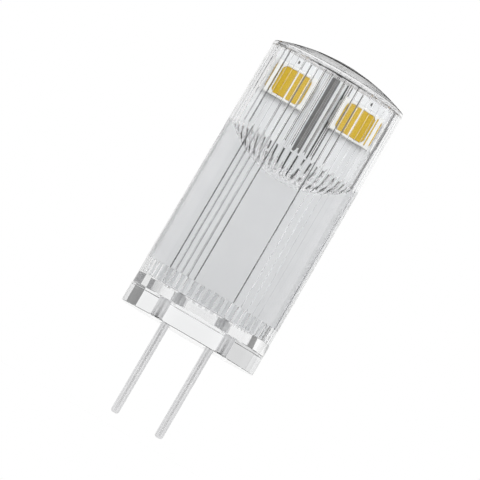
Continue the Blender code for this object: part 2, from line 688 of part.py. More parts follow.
def build_filling(pockets, parts, cutters, hollows, look):
    """The clear filling: a grooved slug with its meniscus, cut to clear the board, the pins and the chips."""
    outline = fluted_outline(FILL_TIP_RADIUS, FILL_ROOT_RADIUS, FLUTE_LAND_SHARE, FLUTE_FLOOR_SHARE)
    filling = finish(plate([outline], FILL_FOOT, FILL_LEVEL + CUTTER_OVERRUN), "clear_filling", parts, look)
    board_space = box(
        (-BOARD_HALF_WIDTH - FIT_GAP, BOARD_FRONT - FIT_GAP, BOARD_FOOT - FIT_GAP),
        (BOARD_HALF_WIDTH + FIT_GAP, BOARD_BACK + FIT_GAP, BODY_HEIGHT),
    )
    spaces = [as_cutter(board_space, "board_pocket", cutters)]
    for side, sign in SIDES.items():
        x = sign * PIN_PITCH / 2
        pin_space = cylinder(PIN_HOLE_RADIUS, FILL_FOOT - CUTTER_OVERRUN, PIN_TOP + FIT_GAP, x)
        spaces.append(as_cutter(pin_space, f"pin_pocket_{side}", cutters))
    spaces.append(meniscus_cutter(cutters))
    for space in [*spaces, *pockets]:
        link(space, hollows)
    modifier = filling.modifiers.new("hollows", "BOOLEAN")
    modifier.operation = "DIFFERENCE"
    modifier.solver = "EXACT"
    modifier.operand_type = "COLLECTION"
    modifier.collection = hollows


def main():
    """Builds the lamp."""
    clear_scene()
    parts = collection("led_capsule_lamp")
    cutters = collection("cutters")
    looks = {
        "clear": material("clear_polycarbonate", (0.9, 0.91, 0.92), 0.03, transmission=0.9),
        "silicone": material("clear_silicone", (0.9, 0.91, 0.92), 0.05, transmission=0.9),
        "board": material("white_solder_mask", (0.82, 0.83, 0.84), 0.4),
        "housing": material("led_housing_white", (0.9, 0.9, 0.88), 0.35),
        "phosphor": material("phosphor_yellow", (0.86, 0.66, 0.05), 0.5),
        "lead": material("silvered_lead", (0.8, 0.8, 0.8), 0.3, metallic=1.0),
        "tinned": material("tinned_metal", (0.72, 0.72, 0.73), 0.28, metallic=1.0),
        "epoxy": material("black_epoxy", (0.03, 0.03, 0.032), 0.5),
        "ceramic": material("tan_ceramic", (0.52, 0.38, 0.24), 0.45),
    }
    build_cover(parts, cutters, looks["clear"])
    build_plug(parts, cutters, looks["clear"])
    build_pins(parts, looks["tinned"])
    build_board(parts, looks["board"])
    sides = {name: board_side(name, parts) for name in FACINGS}
    build_leds(sides, parts, cutters, looks)
    back = sides["back"]
    pockets = build_solder(back, parts, cutters, looks)
    pockets += build_rectifier(back, parts, cutters, looks)
    pockets += build_driver(back, parts, cutters, looks)
    pockets += build_chips(back, parts, cutters, looks)
    build_filling(pockets, parts, cutters, collection("filling_hollows"), looks["silicone"])


main()
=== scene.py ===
"""Looks of a bi-pin LED capsule lamp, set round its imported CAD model.

The clear parts are welded copies of their CAD solids. Each of their faces knows what it borders on, so light bends
as it does where plastic meets air, silicone or more plastic. The board, its LEDs and its driver keep their CAD
solids and get their finish, their pads and their solder here. Units are metres, and -Y is the board's front.
"""

import json
import logging
import math
from collections.abc import Callable, Iterable, Iterator, Sequence
from contextlib import contextmanager
from dataclasses import dataclass, field
from enum import Enum

import bmesh
import bpy
from mathutils import Matrix, Vector
from mathutils.bvhtree import BVHTree

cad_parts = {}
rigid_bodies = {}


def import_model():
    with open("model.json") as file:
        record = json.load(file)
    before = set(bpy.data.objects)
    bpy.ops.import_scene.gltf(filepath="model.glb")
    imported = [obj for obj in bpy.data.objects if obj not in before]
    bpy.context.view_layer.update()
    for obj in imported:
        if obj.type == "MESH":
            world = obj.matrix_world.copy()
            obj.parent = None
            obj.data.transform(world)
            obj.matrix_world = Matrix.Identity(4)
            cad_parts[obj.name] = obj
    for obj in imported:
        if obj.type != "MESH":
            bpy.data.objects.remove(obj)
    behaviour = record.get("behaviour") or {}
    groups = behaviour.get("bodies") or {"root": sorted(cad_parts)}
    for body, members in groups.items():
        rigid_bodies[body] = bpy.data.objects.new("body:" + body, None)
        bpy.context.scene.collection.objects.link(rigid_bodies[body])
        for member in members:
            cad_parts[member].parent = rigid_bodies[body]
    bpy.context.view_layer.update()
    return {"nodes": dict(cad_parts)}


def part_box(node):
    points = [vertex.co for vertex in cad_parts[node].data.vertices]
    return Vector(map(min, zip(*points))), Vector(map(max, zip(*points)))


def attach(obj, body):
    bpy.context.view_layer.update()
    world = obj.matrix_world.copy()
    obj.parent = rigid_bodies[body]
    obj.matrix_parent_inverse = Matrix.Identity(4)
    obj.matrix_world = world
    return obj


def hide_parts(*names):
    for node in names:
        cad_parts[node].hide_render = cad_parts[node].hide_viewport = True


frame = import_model()

MM = 0.001
BODY = "root"
WELD = 0.0002 * MM
CREASE = math.radians(20)
UP = Vector((0, 0, 1))
WHITE = (1.0, 1.0, 1.0, 1.0)
# The most that a wall's normal has along Z, and the most that a land's has.
STEEP = 0.5
PLUMB = 0.1
GROOVES = 56

Colour = tuple[float, float, float]
Triple = tuple[float, float, float]

log = logging.getLogger("lamp")


class Side(Enum):
    """The lamp's left and right, as the front camera sees them."""

    LEFT = "left"
    RIGHT = "right"

    @property
    def sign(self) -> int:
        """The side's direction along X."""
        return -1 if self is Side.LEFT else 1


class Facing(Enum):
    """A face of the circuit board."""

    FRONT = "front"
    BACK = "back"

    @property
    def outward(self) -> int:
        """The face's direction along Y."""
        return -1 if self is Facing.FRONT else 1


class Boundary(Enum):
    """What a clear face borders on."""

    AIR = "air"
    SILICONE = "silicone"
    BONDED = "bonded"
    FROSTED = "frosted"
    # Faces by a layer of air in a groove; their finishes paint its shade as a dark tint.
    GROOVE_SHADE = "air_film"
    THIN_GROOVE_SHADE = "thin_air_film"
    # A dark, dull patch low on the cover's left front.
    DARK_PATCH = "gate_mark"


class Wire:
    """An output in a node tree. Arithmetic on it adds Math nodes."""

    def __init__(self, graph: "Graph", socket: bpy.types.NodeSocket) -> None:
        """Takes the output and the graph that it is in."""
        self.graph = graph
        self.socket = socket

    def __add__(self, other: "Wire | float") -> "Wire":
        """The sum."""
        return self.graph.math("ADD", self, other)

    def __sub__(self, other: "Wire | float") -> "Wire":
        """The difference."""
        return self.graph.math("SUBTRACT", self, other)

    def __rsub__(self, other: float) -> "Wire":
        """The difference from a constant."""
        return self.graph.math("SUBTRACT", other, self)

    def __mul__(self, other: "Wire | float") -> "Wire":
        """The product."""
        return self.graph.math("MULTIPLY", self, other)

    def __truediv__(self, other: "Wire | float") -> "Wire":
        """The quotient."""
        return self.graph.math("DIVIDE", self, other)

    def __pow__(self, other: "Wire | float") -> "Wire":
        """The power."""
        return self.graph.math("POWER", self, other)

    def __abs__(self) -> "Wire":
        """The number without its sign."""
        return self.graph.math("ABSOLUTE", self)

    def __gt__(self, other: "Wire | float") -> "Wire":
        """1 where it is the greater, else 0."""
        return self.graph.math("GREATER_THAN", self, other)

    def __lt__(self, other: "Wire | float") -> "Wire":
        """1 where it is the smaller, else 0."""
        return self.graph.math("LESS_THAN", self, other)


class Graph:
    """A node tree under construction."""

    def __init__(self, tree: bpy.types.NodeTree) -> None:
        """Takes the tree of a material, a world or a group."""
        self.tree = tree

    def add(self, kind: str, inputs: dict | None = None, **settings) -> bpy.types.Node:
        """Adds a node.

        Args:
            kind: The node's type.
            inputs: Constants or outputs for its inputs, by name or number.
            settings: Values for its own properties.

        Returns:
            The new node.
        """
        node = self.tree.nodes.new(kind)
        for name, value in settings.items():
            setattr(node, name, value)
        self.feed_all(node, inputs or {})
        return node

    def take(self, kind: str, inputs: dict | None = None, output: str | int = 0, **settings) -> Wire:
        """Adds a node and takes one of its outputs.

        Args:
            kind: The node's type.
            inputs: Constants or outputs for its inputs, by name or number.
            output: The output's name or number.
            settings: Values for its own properties.

        Returns:
            The output.
        """
        return Wire(self, self.add(kind, inputs, **settings).outputs[output])

    def start(self) -> dict[str, Wire]:
        """Adds the group's input node.

        Returns:
            The group's inputs, by name.
        """
        return {socket.name: Wire(self, socket) for socket in self.add("NodeGroupInput").outputs if socket.name}

    def feed(self, socket: bpy.types.NodeSocket, value) -> None:
        """Gives an input a constant or a link.

        Args:
            socket: The input.
            value: A constant, or the output to link.
        """
        if isinstance(value, Wire):
            value = value.socket
        if isinstance(value, bpy.types.NodeSocket):
            self.tree.links.new(value, socket)
        else:
            socket.default_value = value

    def feed_all(self, node: bpy.types.Node, inputs: dict) -> None:
        """Gives several of a node's inputs their values, by name or number."""
        for key, value in inputs.items():
            self.feed(node.inputs[key], value)

    def math(self, operation: str, *values) -> Wire:
        """Adds a Math node.

        Args:
            operation: The node's operation.
            values: Its inputs, in order.

        Returns:
            The result.
        """
        return self.take("ShaderNodeMath", dict(enumerate(values)), operation=operation)

    def between(self, share: Wire, low: Wire, high: Wire) -> Wire:
        """A number that goes from the low one to the high one with the share."""
        return self.math("MULTIPLY_ADD", share, high - low, low)

    def ramp(
        self, value, low: float, high: float, start: float = 0.0, end: float = 1.0, kind: str = "LINEAR"
    ) -> Wire:
        """Maps a range of a value to another range.

        Args:
            value: The value.
            low: Where the range starts.
            high: Where it ends.
            start: The result at its start.
            end: The result at its end.
            kind: The node's interpolation.

        Returns:
            The result.
        """
        ends = {"Value": value, "From Min": low, "From Max": high, "To Min": start, "To Max": end}
        return self.take("ShaderNodeMapRange", ends, interpolation_type=kind)

    def axes(self, vector) -> list[Wire]:
        """The X, Y and Z of a vector."""
        return [Wire(self, part) for part in self.add("ShaderNodeSeparateXYZ", {0: vector}).outputs]

    def noise(self, where: Wire, scale, detail: float) -> Wire:
        """Cloudy noise of a scale and a detail, from 0 to 1."""
        return self.take("ShaderNodeTexNoise", {"Vector": where, "Scale": scale, "Detail": detail}, "Fac")

    def blend(self, share, low, high) -> Wire:
        """Blends two colours.

        Args:
            share: How much of the second colour shows.
            low: The first colour.
            high: The second colour.

        Returns:
            The blended colour.
        """
        low, high = ((*value, 1.0) if isinstance(value, tuple) else value for value in (low, high))
        return self.take("ShaderNodeMix", {0: share, 6: low, 7: high}, 2, data_type="RGBA")

    def group(self, made: bpy.types.NodeTree, **inputs) -> bpy.types.Node:
        """Places a node group.

        Args:
            made: The group's tree.
            inputs: Values for its inputs, by name.

        Returns:
            The group's node.
        """
        return self.add("ShaderNodeGroup", {name.title(): value for name, value in inputs.items()}, node_tree=made)


def blank_look(name: str) -> tuple[bpy.types.Material, Graph, bpy.types.Node]:
    """Starts a material.

    Args:
        name: The material's name.

    Returns:
        The material, its graph and its shader.
    """
    made = bpy.data.materials.new(name)
    made.use_nodes = True
    return made, Graph(made.node_tree), made.node_tree.nodes["Principled BSDF"]


class Effects:
    """The surface effects that several finishes share, each a node group built once.

    Attributes:
        FINER: How much finer the grain's relief is than its clouds.
        BLOTS: The scale of the blots among the streaks.
        RIPPLE_SHADE_EDGE: The wave's heights where a line of painted shade starts and where it is darkest.
        BREAKS: The scale of the noise that breaks the lines of painted shade up.
        BREAK_EDGE: The noise's values where a line of painted shade is gone and where it is whole.
        LEAST_DEPTH: The least distance from the middle to the wall that the lines of painted shade reckon with.
    """

    FINER = 5.0
    BLOTS = 900.0
    RIPPLE_SHADE_EDGE = (-0.5, -0.85)
    BREAKS = 1100.0
    BREAK_EDGE = (0.34, 0.44)
    LEAST_DEPTH = 1.0 * MM

    def __init__(self) -> None:
        """Builds the groups."""
        self.grain = self._grain()
        self.specks = self._specks()
        self.streaks = self._streaks()
        self.ripple_shades = self._ripple_shades()

    @staticmethod
    def _open(name: str, sizes: dict[str, float]) -> tuple[Graph, dict[str, Wire], Wire]:
        """Starts a group.

        Args:
            name: The group's name.
            sizes: Its inputs' names and defaults.

        Returns:
            The group's graph, its inputs, and the place on the object.
        """
        tree = bpy.data.node_groups.new(name, "ShaderNodeTree")
        for label, default in sizes.items():
            socket = tree.interface.new_socket(label, in_out="INPUT", socket_type="NodeSocketFloat")
            socket.default_value = default
        graph = Graph(tree)
        return graph, graph.start(), graph.take("ShaderNodeTexCoord", output="Object")

    @staticmethod
    def _close(graph: Graph, **outputs) -> bpy.types.NodeTree:
        """Ends a group.

        Args:
            graph: The group's graph.
            outputs: The values that it puts out, by name.

        Returns:
            The group's tree.
        """
        for name in outputs:
            graph.tree.interface.new_socket(name.title(), in_out="OUTPUT", socket_type="NodeSocketFloat")
        graph.add("NodeGroupOutput", {name.title(): value for name, value in outputs.items()})
        return graph.tree

    def _grain(self) -> bpy.types.NodeTree:
        """A soft cloudy grain, as on moulded plastic, put out as a mask and as a finer height."""
        graph, start, where = self._open("soft_grain", {"Scale": 1000.0, "Contrast": 1.0})
        centred = graph.noise(where, start["Scale"], 3.0) - 0.5
        spread = graph.math("MULTIPLY_ADD", centred, start["Contrast"], 0.5)
        mask = graph.take("ShaderNodeClamp", {0: spread})
        return self._close(graph, mask=mask, height=graph.noise(where, start["Scale"] * self.FINER, 2.0))

    def _specks(self) -> bpy.types.NodeTree:
        """Small separate grains, as of phosphor or ceramic, each with its own value."""
        graph, start, where = self._open("specks", {"Scale": 9000.0, "Amount": 0.3})
        cells = graph.add("ShaderNodeTexVoronoi", {"Vector": where, "Scale": start["Scale"]}).outputs
        value = graph.take("ShaderNodeSeparateColor", {0: cells["Color"]})
        near = 1.0 - Wire(graph, cells["Distance"])
        return self._close(graph, mask=(value < start["Amount"]) * near, height=near)

    def _streaks(self) -> bpy.types.NodeTree:
        """Fine lines along Z, as drawing leaves them on wire."""
        graph, start, where = self._open("drawn_streaks", {"Scale": 4000.0, "Length": 0.02})
        stretch = graph.take("ShaderNodeCombineXYZ", {"X": 1.0, "Y": 1.0, "Z": start["Length"]})
        drawn = graph.take("ShaderNodeVectorMath", {0: where, 1: stretch}, operation="MULTIPLY")
        lines = graph.noise(drawn, start["Scale"], 3.0)
        mask = graph.math("MULTIPLY_ADD", graph.noise(where, self.BLOTS, 2.0), 0.5, lines * 0.5)
        return self._close(graph, mask=mask, height=lines)

    def _ripple_shades(self) -> bpy.types.NodeTree:
        """Painted shade: dark lines fanning out to a round wall, widest at their feet, broken up at random."""
        sizes = {"Count": float(GROOVES), "Wall": 5.33 * MM, "Foot": 0.77, "Foot Width": 0.1}
        graph, start, where = self._open("fanned_ripple_shades", sizes)
        x, y, _ = graph.axes(where)
        wave = graph.math("COSINE", graph.math("ARCTAN2", x, y) * start["Count"])
        depth = graph.math("SQRT", graph.math("MAXIMUM", start["Wall"] ** 2.0 - x**2.0, self.LEAST_DEPTH**2))
        share = abs(y) / depth
        foot = graph.math("MAXIMUM", 1.0 - abs(share - start["Foot"]) / start["Foot Width"], 0.0)
        line = graph.ramp(wave - foot, *self.RIPPLE_SHADE_EDGE)
        beyond = share > start["Foot"] - start["Foot Width"]
        whole = graph.ramp(graph.noise(where, self.BREAKS, 1.0), *self.BREAK_EDGE)
        return self._close(graph, mask=line * beyond * whole)


@dataclass(frozen=True)
class Finish:
    """An opaque finish whose colour and roughness a shared effect varies.

    Attributes:
        name: The material's name.
        low: The colour where the effect is low.
        high: The colour where it is high.
        roughness: The roughness at both ends.
        effect: The name of the effect's group in Effects.
        scale: The effect's scale, in cycles a metre.
        amount: The effect's second input.
        relief: The depth of the surface's relief.
        metallic: How metallic it is.
        coat: The weight of a clear coat.
        gloss: The specular level, 0.5 for most plastics.
    """

    name: str
    low: Colour
    high: Colour
    roughness: tuple[float, float]
    effect: str = "grain"
    scale: float = 1500.0
    amount: float = 1.6
    relief: float = 0.001 * MM
    metallic: float = 0.0
    coat: float = 0.0
    gloss: float = 0.5

    def material(self, effects: Effects) -> bpy.types.Material:
        """Builds the material.

        Args:
            effects: The shared node groups.

        Returns:
            The material.
        """
        made, graph, shader = blank_look(self.name)
        group = graph.group(getattr(effects, self.effect))
        graph.feed_all(group, {0: self.scale, 1: self.amount})
        mask = group.outputs["Mask"]
        relief = {"Height": group.outputs["Height"], "Strength": 1.0, "Distance": self.relief}
        looks = {
            "Base Color": graph.blend(mask, self.low, self.high),
            "Roughness": graph.ramp(mask, 0.0, 1.0, *self.roughness),
            "Normal": graph.take("ShaderNodeBump", relief),
            "Metallic": self.metallic,
            "Coat Weight": self.coat,
            "Specular IOR Level": self.gloss,
        }
        graph.feed_all(shader, looks)
        return made


@dataclass(frozen=True)
class ClearFinish:
    """A clear finish, which lets shadow rays through so that lamps light what is inside.

    Attributes:
        name: The material's name.
        ior: The refractive index against what the face borders on.
        roughness: How frosted the face is.
        tint: The colour of the light that passes.
        clouding: The share of it that passes where the moulding is cloudiest.
        shadow: The share of a lamp's light that passes.
        waves: The depth of the moulding's faint waves.
        wave_scale: Waves a metre.
        ripple_shades: How many dark lines of painted shade fan out to the wall in the ripples' troughs, or 0.
        ripple_shade_colour: The colour of those lines of painted shade.
    """

    name: str
    ior: float
    roughness: float = 0.0
    tint: Colour = (1.0, 1.0, 1.0)
    clouding: float = 0.985
    shadow: float = 0.97
    waves: float = 0.0
    wave_scale: float = 500.0
    ripple_shades: float = 0.0
    ripple_shade_colour: Colour = (0.01, 0.01, 0.01)

    def material(self, effects: Effects) -> bpy.types.Material:
        """Builds the material.

        Args:
            effects: The shared node groups.

        Returns:
            The material.
        """
        made, graph, shader = blank_look(self.name)
        cloud = graph.group(effects.grain, scale=self.wave_scale, contrast=1.0).outputs["Mask"]
        colour = graph.blend(cloud, self.tint, tuple(channel * self.clouding for channel in self.tint))
        # Painted shade: dark lines darken the tint in the troughs of the silicone's ripples.
        if self.ripple_shades:
            fan = graph.group(effects.ripple_shades, count=self.ripple_shades)
            colour = graph.blend(fan.outputs["Mask"], colour, self.ripple_shade_colour)
        looks = {"Base Color": colour, "Roughness": self.roughness, "Transmission Weight": 1.0, "IOR": self.ior}
        if self.waves:
            relief = {"Height": cloud, "Strength": 1.0, "Distance": self.waves}
            looks["Normal"] = graph.take("ShaderNodeBump", relief)
        graph.feed_all(shader, looks)
        ways = {
            0: graph.take("ShaderNodeLightPath", output="Is Shadow Ray"),
            1: shader.outputs[0],
            2: graph.take("ShaderNodeBsdfTransparent", {0: (self.shadow, self.shadow, self.shadow, 1.0)}),
        }
        mix = graph.take("ShaderNodeMixShader", ways)
        graph.feed(made.node_tree.nodes["Material Output"].inputs[0], mix)
        return made


@dataclass(frozen=True)
class ClearSet:
    """The indices of refraction that the lamp's clear faces work with.

    Attributes:
        plastic: The moulded plastic's index.
        silicone: The cured silicone's index.
        tooth_roughness: How frosted the teeth are.
        tooth: The colour of the teeth's lands.
        plug: The colour of the plug's surface.
        dark_patch: The colour of a dark, dull patch low on the cover's left front.
        groove_shade: The painted shade of a groove that holds a layer of air: a dark tint in place of its shade.
        thin_groove_shade: The lighter painted shade of one that holds a thinner layer of air.
        waves: The depth of the faint waves in the moulded plastic.
    """

    plastic: float = 1.5
    silicone: float = 1.41
    tooth_roughness: float = 0.12
    tooth: Colour = (0.70, 0.71, 0.72)
    plug: Colour = (0.925, 0.93, 0.935)
    dark_patch: Colour = (0.08, 0.08, 0.085)
    groove_shade: Colour = (0.07, 0.07, 0.075)
    thin_groove_shade: Colour = (0.3, 0.3, 0.31)
    waves: float = 0.0002 * MM

    def plastic_finishes(self) -> dict[Boundary, ClearFinish]:
        """The plastic's finish against each thing that it borders on."""
        return {
            Boundary.AIR: ClearFinish("clear_plastic_to_air", self.plastic, waves=self.waves),
            Boundary.SILICONE: ClearFinish("clear_plastic_to_silicone", self.plastic / self.silicone),
            Boundary.BONDED: ClearFinish("clear_plastic_bonded", 1.0),
            Boundary.FROSTED: ClearFinish(
                "clear_plastic_frosted", self.plastic, roughness=self.tooth_roughness, tint=self.tooth
            ),
            # Painted shade: grooves that hold a layer of air get a dark tint.
            Boundary.GROOVE_SHADE: ClearFinish("air_film", self.plastic, tint=self.groove_shade),
            Boundary.THIN_GROOVE_SHADE: ClearFinish("thin_air_film", self.plastic, tint=self.thin_groove_shade),
            # A dark, dull patch low on the cover's left front.
            Boundary.DARK_PATCH: ClearFinish("gate_mark", self.plastic, roughness=self.tooth_roughness, tint=self.dark_patch),
        }

    def plug_finish(self) -> ClearFinish:
        """The plug's finish against air."""
        return ClearFinish("clear_plug_to_air", self.plastic, tint=self.plug)

    def silicone_finishes(self) -> dict[Boundary, ClearFinish]:
        """The silicone's finish against each thing that it borders on."""
        return {
            # Its surface against air carries painted shade in the troughs of its ripples.
            Boundary.AIR: ClearFinish("clear_silicone_to_air", self.silicone, ripple_shades=float(GROOVES)),
            Boundary.BONDED: ClearFinish("clear_silicone_wetted", 1.0),
        }


class Surfaces:
    """Every opaque material of the lamp."""

    FINISHES = {
        "solder_mask": Finish(
            "white_solder_mask", (0.70, 0.71, 0.725), (0.745, 0.755, 0.765), (0.38, 0.5), scale=700.0, coat=0.15
        ),
        # Painted shade: a dark strip on the board above the silicone, for the dark band that the grooves show.
        "shade_strip": Finish(
            "painted_shade_strip", (0.10,) * 3, (0.17,) * 3, (0.4, 0.55), scale=2500.0, metallic=0.3
        ),
        # Painted shade: dark and paler lines beside the strip.
        "painted_shade_line": Finish("painted_shade_line", (0.03,) * 3, (0.06,) * 3, (0.5, 0.6), scale=2500.0),
        "faint_painted_shade_line": Finish("faint_painted_shade_line", (0.38, 0.38, 0.39), (0.46, 0.46, 0.47), (0.5, 0.6), scale=2500.0),
        "housing": Finish(
            "led_housing_plastic", (0.80, 0.80, 0.78), (0.85, 0.85, 0.83), (0.32, 0.42), scale=2500.0, coat=0.1
        ),
        "phosphor": Finish(
            "phosphor_in_silicone", (0.57, 0.365, 0.0), (0.69, 0.465, 0.0), (0.7, 0.85),
            effect="specks", scale=16000.0, amount=0.45, relief=0.002 * MM, gloss=0.1,
        ),
        "epoxy": Finish(
            "moulded_epoxy", (0.022, 0.022, 0.024), (0.045, 0.045, 0.047), (0.45, 0.65),
            scale=6000.0, amount=2.2, relief=0.004 * MM,
        ),
        "ceramic": Finish(
            "fired_ceramic", (0.50, 0.36, 0.22), (0.60, 0.46, 0.30), (0.4, 0.55),
            effect="specks", scale=12000.0, amount=0.35, relief=0.002 * MM,
        ),
        "tinned": Finish(
            "tinned_metal", (0.62, 0.62, 0.63), (0.80, 0.80, 0.80), (0.22, 0.38), scale=3000.0, metallic=1.0
        ),
        "silvered": Finish(
            "silvered_metal", (0.74, 0.74, 0.73), (0.88, 0.88, 0.87), (0.25, 0.4), scale=2500.0, metallic=1.0
        ),
        "solder": Finish(
            "bright_solder", (0.58, 0.58, 0.60), (0.78, 0.78, 0.79), (0.16, 0.36),
            scale=1800.0, amount=2.0, relief=0.006 * MM, metallic=1.0,
        ),
        "pin": Finish(
            "drawn_tinned_pin", (0.66, 0.66, 0.67), (0.96, 0.96, 0.965), (0.22, 0.4),
            effect="streaks", scale=5000.0, amount=0.03, relief=0.002 * MM, metallic=0.95,
        ),
    }

    def __init__(self, effects: Effects) -> None:
        """Builds the materials.

        Args:
            effects: The shared node groups.
        """
        self.made = {key: finish.material(effects) for key, finish in self.FINISHES.items()}

    def dress(self, key: str, names: Iterable[str]) -> None:
        """Gives CAD nodes a finish.

        Args:
            key: The finish's name.
            names: The nodes' names.
        """
        for name in names:
            node = frame["nodes"][name]
            node.data.materials.clear()
            node.data.materials.append(self.made[key])


@contextmanager
def reshaped(mesh: bpy.types.Mesh) -> Iterator[bmesh.types.BMesh]:
    """Opens a mesh for changes and writes them back.

    Args:
        mesh: The mesh, which may be empty.

    Yields:
        Its shape.
    """
    shape = bmesh.new()
    shape.from_mesh(mesh)
    yield shape
    shape.to_mesh(mesh)
    shape.free()


def welded_copy(node_name: str, name: str) -> bpy.types.Object:
    """Copies a CAD node's mesh with its doubles merged, as an object at the origin.

    Args:
        node_name: The CAD node.
        name: The new piece's name.

    Returns:
        The new object.
    """
    mesh = bpy.data.meshes.new(name)
    with reshaped(mesh) as shape:
        shape.from_mesh(frame["nodes"][node_name].data)
        bmesh.ops.remove_doubles(shape, verts=shape.verts, dist=WELD)
    return placed(name, mesh)


def placed(name: str, mesh: bpy.types.Mesh) -> bpy.types.Object:
    """Puts a mesh in the scene as an object at the origin."""
    obj = bpy.data.objects.new(name, mesh)
    bpy.context.scene.collection.objects.link(obj)
    return obj


def creased(obj: bpy.types.Object, angle: float = CREASE) -> None:
    """Shades a mesh smooth, with its grooves and corners kept sharp."""
    if "custom_normal" in obj.data.attributes:
        obj.data.attributes.remove(obj.data.attributes["custom_normal"])
    obj.data.shade_smooth()
    obj.data.set_sharp_from_angle(angle=angle)


def settle(obj: bpy.types.Object, replaced: Sequence[str] = ()) -> None:
    """Makes a piece ride on the lamp's body and hides the CAD nodes that it stands for.

    Args:
        obj: The piece.
        replaced: The CAD nodes that it stands for.
    """
    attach(obj, BODY)
    if replaced:
        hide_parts(*replaced)
    log.info("%s: %d faces", obj.name, len(obj.data.polygons))


@dataclass(frozen=True)
class Bore:
    """The cover's bore: its grooves, and the teeth at their foot.

    Attributes:
        grooves: How many grooves run down it.
        land_share: The share of the pitch that is land.
        floor_share: The share of the pitch that is a groove's floor.
        tip: The lands' radius.
        root: The grooves' radius.
        ceiling: The height of the bore's upper end.
        tooth_foot: The lower end of the teeth.
        tooth_head: The upper end of the teeth, where the silicone starts.
        tooth_relief: How far the teeth's lands stand back from the grooves' lands.
        gap: The gap between the bore and the silicone.
        slack: How far off its radius a face may lie.
    """

    grooves: int = GROOVES
    land_share: float = 0.68
    floor_share: float = 0.06
    tip: float = 5.23 * MM
    root: float = 5.33 * MM
    ceiling: float = 23.45 * MM
    tooth_foot: float = 2.73 * MM
    tooth_head: float = 4.0 * MM
    tooth_relief: float = 0.02 * MM
    gap: float = 0.03 * MM
    slack: float = 0.008 * MM

    def groove_at(self, x: float, y: float) -> int | None:
        """Tells which groove's inner slope, the one nearer the front centre, a place is on.

        Args:
            x: The place's X.
            y: The place's Y.

        Returns:
            The groove's number, counted from the front centre towards the right, or None elsewhere.
        """
        pitch = 2 * math.pi / self.grooves
        turn = math.atan2(x, -y) / pitch
        nearest = round(turn)
        inward = (nearest - turn) * (1 if nearest > 0 else -1)
        return nearest if self.floor_share / 2 < inward < (1 - self.land_share) / 2 else None

    def is_land(self, face: bpy.types.MeshPolygon) -> bool:
        """Whether a face is one of the lands between the grooves."""
        radius = math.hypot(face.center.x, face.center.y)
        return abs(radius - self.tip) < self.slack and abs(face.normal.z) < PLUMB

    def outline(self) -> list[tuple[float, float]]:
        """The silicone's outline, which has the bore's grooves with the gap taken off."""
        pitch = 2 * math.pi / self.grooves
        points = []
        for groove in range(self.grooves):
            for share, radius in (
                (-self.floor_share / 2, self.root - self.gap),
                (self.floor_share / 2, self.root - self.gap),
                ((1 - self.land_share) / 2, self.tip - self.gap),
                ((1 + self.land_share) / 2, self.tip - self.gap),
            ):
                turn = (groove + share) * pitch
                points.append((radius * math.cos(turn), radius * math.sin(turn)))
        return points


class ShapeTree:
    """A Geometry Nodes tree that makes one dressed mesh from points and named sizes."""

    SIZES: tuple[str, ...] = ()

    def __init__(self, name: str) -> None:
        """Builds the tree under its name."""
        self.tree = bpy.data.node_groups.new(name, "GeometryNodeTree")
        face = self.tree.interface
        face.new_socket("Geometry", in_out="INPUT", socket_type="NodeSocketGeometry")
        for label in self.SIZES:
            face.new_socket(label, in_out="INPUT", socket_type="NodeSocketFloat")
        face.new_socket("Look", in_out="INPUT", socket_type="NodeSocketMaterial")
        face.new_socket("Geometry", in_out="OUTPUT", socket_type="NodeSocketGeometry")
        graph = Graph(self.tree)
        start = graph.start()
        real = graph.take("GeometryNodeRealizeInstances", {0: self._shape(graph, start)})
        dressed = graph.take("GeometryNodeSetMaterial", {"Geometry": real, "Material": start["Look"]})
        graph.add("NodeGroupOutput", {0: dressed})

    def _shape(self, graph: Graph, start: dict[str, Wire]) -> Wire:
        """The tree's geometry, which each kind of tree gives."""
        raise NotImplementedError

    @staticmethod
    def _closed(graph: Graph, sheet: Wire, raised: Wire) -> Wire:
        """Closes a raised sheet from below.

        Args:
            graph: The tree.
            sheet: The sheet.
            raised: The same sheet, extruded.

        Returns:
            The closed solid.
        """
        both = graph.add("GeometryNodeJoinGeometry")
        graph.feed(both.inputs[0], raised)
        graph.feed(both.inputs[0], graph.take("GeometryNodeFlipFaces", {0: sheet}))
        return graph.take("GeometryNodeMergeByDistance", {"Geometry": both.outputs[0], "Distance": WELD})

    def make(
        self, name: str, points: Sequence[Vector], sizes: dict[str, float], look: bpy.types.Material
    ) -> bpy.types.Object:
        """Makes the tree's shapes as one plain mesh.

        Args:
            name: The piece's name.
            points: Where the shapes stand.
            sizes: The tree's sizes, by input name.
            look: Their material.

        Returns:
            The piece.
        """
        seeds = bpy.data.meshes.new(f"{name}_points")
        seeds.from_pydata([tuple(point) for point in points], [], [])
        carrier = placed(f"{name}_carrier", seeds)
        modifier = carrier.modifiers.new("shapes", "NODES")
        modifier.node_group = self.tree
        named = {item.name: item.identifier for item in self.tree.interface.items_tree if item.in_out == "INPUT"}
        for label, value in {**sizes, "Look": look}.items():
            modifier[named[label]] = value
        graph = bpy.context.evaluated_depsgraph_get()
        mesh = bpy.data.meshes.new_from_object(carrier.evaluated_get(graph))
        bpy.data.objects.remove(carrier)
        mesh.name = name
        return placed(name, mesh)


